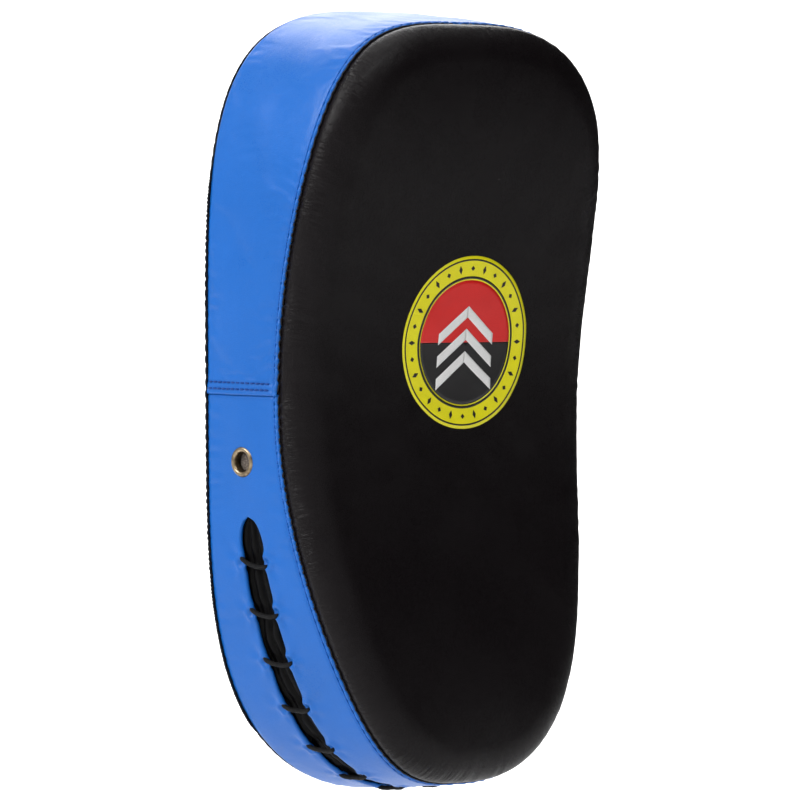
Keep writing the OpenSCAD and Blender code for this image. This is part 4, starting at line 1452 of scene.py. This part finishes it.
def room_piece(name, points, faces, finish, grey, rough):
    """A plain grey object that belongs to the room and not to the pad."""
    mesh = bpy.data.meshes.new(name)
    mesh.from_pydata([tuple(p) for p in points], [], faces)
    mesh.shade_smooth()
    paint(mesh, Shader(finish).finish(Base_Color=(grey, grey, grey, 1.0), Roughness=rough))
    obj = add_object(name, mesh)
    return obj


def place_towards(obj, place, aim):
    """Puts a lamp or a card at a place and turns it towards a point."""
    obj.location = place
    obj.rotation_euler = (Vector(aim) - Vector(place)).to_track_quat("-Z", "Y").to_euler()


def backdrop():
    """Pale floor that curves up into a pale wall behind the pad."""
    bend = 1.5
    reach = 4.0
    floor_z = -2 * (HALF_H + 0.2 * MM)
    path = [(-reach - 2.0, 0.0), (reach, 0.0)]
    path += [(reach + bend * math.sin(a), bend * (1 - math.cos(a)))
             for a in np.linspace(0, math.pi / 2, 24)[1:]]
    path += [(reach + bend, 8.0)]
    x, y, _ = -CAMERA_BACK
    points = [(along * x + side * y, along * y - side * x, floor_z + rise)
              for along, rise in path for side in (-9.0, 9.0)]
    room_piece("backdrop", points, grid_faces(len(path), 2), "pale_floor", 0.92, 0.8)


def area_light(name, place, aim, size, power):
    """Rectangular soft lamp."""
    data = bpy.data.lights.new(name, "AREA")
    data.shape = "RECTANGLE"
    data.size, data.size_y = size
    data.energy = power
    lamp = add_object(name, data)
    place_towards(lamp, place, aim)


def flag(name, place, aim, size):
    """Dark card that keeps pale light off the striking face. The camera doesn't see it."""
    half_w, half_h = size[0] / 2, size[1] / 2
    corners = [(-half_w, -half_h, 0), (half_w, -half_h, 0), (half_w, half_h, 0), (-half_w, half_h, 0)]
    card = room_piece(name, corners, [(0, 1, 2, 3)], "dark_card", 0.004, 0.9)
    place_towards(card, place, aim)
    card.visible_camera = False


CAMERA_YAW = math.radians(38.0)   # how far the camera stands to the striking face's left
CAMERA_PITCH = math.radians(1.8)
CAMERA_ROLL = math.radians(0.2)
CAMERA_DISTANCE = 2.958  # metres from the pad's middle
CAMERA_LENS = 257.6      # focal length in millimetres
CAMERA_SHIFT = 0.0431    # sideways shift of the view, as a share of its width
CAMERA_BACK = np.array([-math.sin(CAMERA_YAW) * math.cos(CAMERA_PITCH),
                        -math.cos(CAMERA_YAW) * math.cos(CAMERA_PITCH), math.sin(CAMERA_PITCH)])


def camera():
    """Long lens from the photo's side: the striking face and the blue side are both seen."""
    data = bpy.data.cameras.new("camera")
    data.sensor_width = 36
    data.lens = CAMERA_LENS
    data.shift_x = CAMERA_SHIFT
    data.clip_end = 50
    obj = add_object("camera", data)
    target = Vector((0, BODY_Y, 0))
    place = target + CAMERA_DISTANCE * Vector(CAMERA_BACK)
    turn = (target - place).to_track_quat("-Z", "Y").to_matrix()
    turn = turn @ Matrix.Rotation(CAMERA_ROLL, 3, "Z")
    obj.matrix_world = Matrix.Translation(place) @ turn.to_4x4()
    bpy.context.scene.camera = obj


def light():
    """Even white surroundings, four soft lamps round the pad, and one that washes the wall."""
    world = bpy.data.worlds.new("world")
    world.use_nodes = True
    sky = world.node_tree.nodes["Background"].inputs
    sky["Color"].default_value = (1, 1, 1, 1)
    sky["Strength"].default_value = 0.45
    bpy.context.scene.world = world
    pad = (0, -0.05, 0)
    area_light("key", (-2.4, 0.35, 1.7), (0, -0.05, 0.05), (1.3, 1.3), 60)
    area_light("top", (0.2, 0.3, 2.2), pad, (1.4, 1.4), 11)
    area_light("back", (1.0, 1.5, 1.3), (0, -0.05, 0.1), (1.6, 1.0), 12)
    area_light("front", (-0.5, -1.6, 2.3), pad, (1.0, 0.7), 20)
    wall_foot = -4.5 * CAMERA_BACK
    area_light("wall_wash", 0.5 * wall_foot + [0, 0, 2.6], wall_foot, (3.0, 1.0), 230)
    flag("front_flag", (1.15, -1.35, 0.9), pad, (2.6, 2.4))
    flag("side_flag", (1.65, 0.25, 0.6), pad, (1.9, 2.4))


backdrop()
light()
camera()
bpy.context.scene.view_settings.view_transform = "Standard"
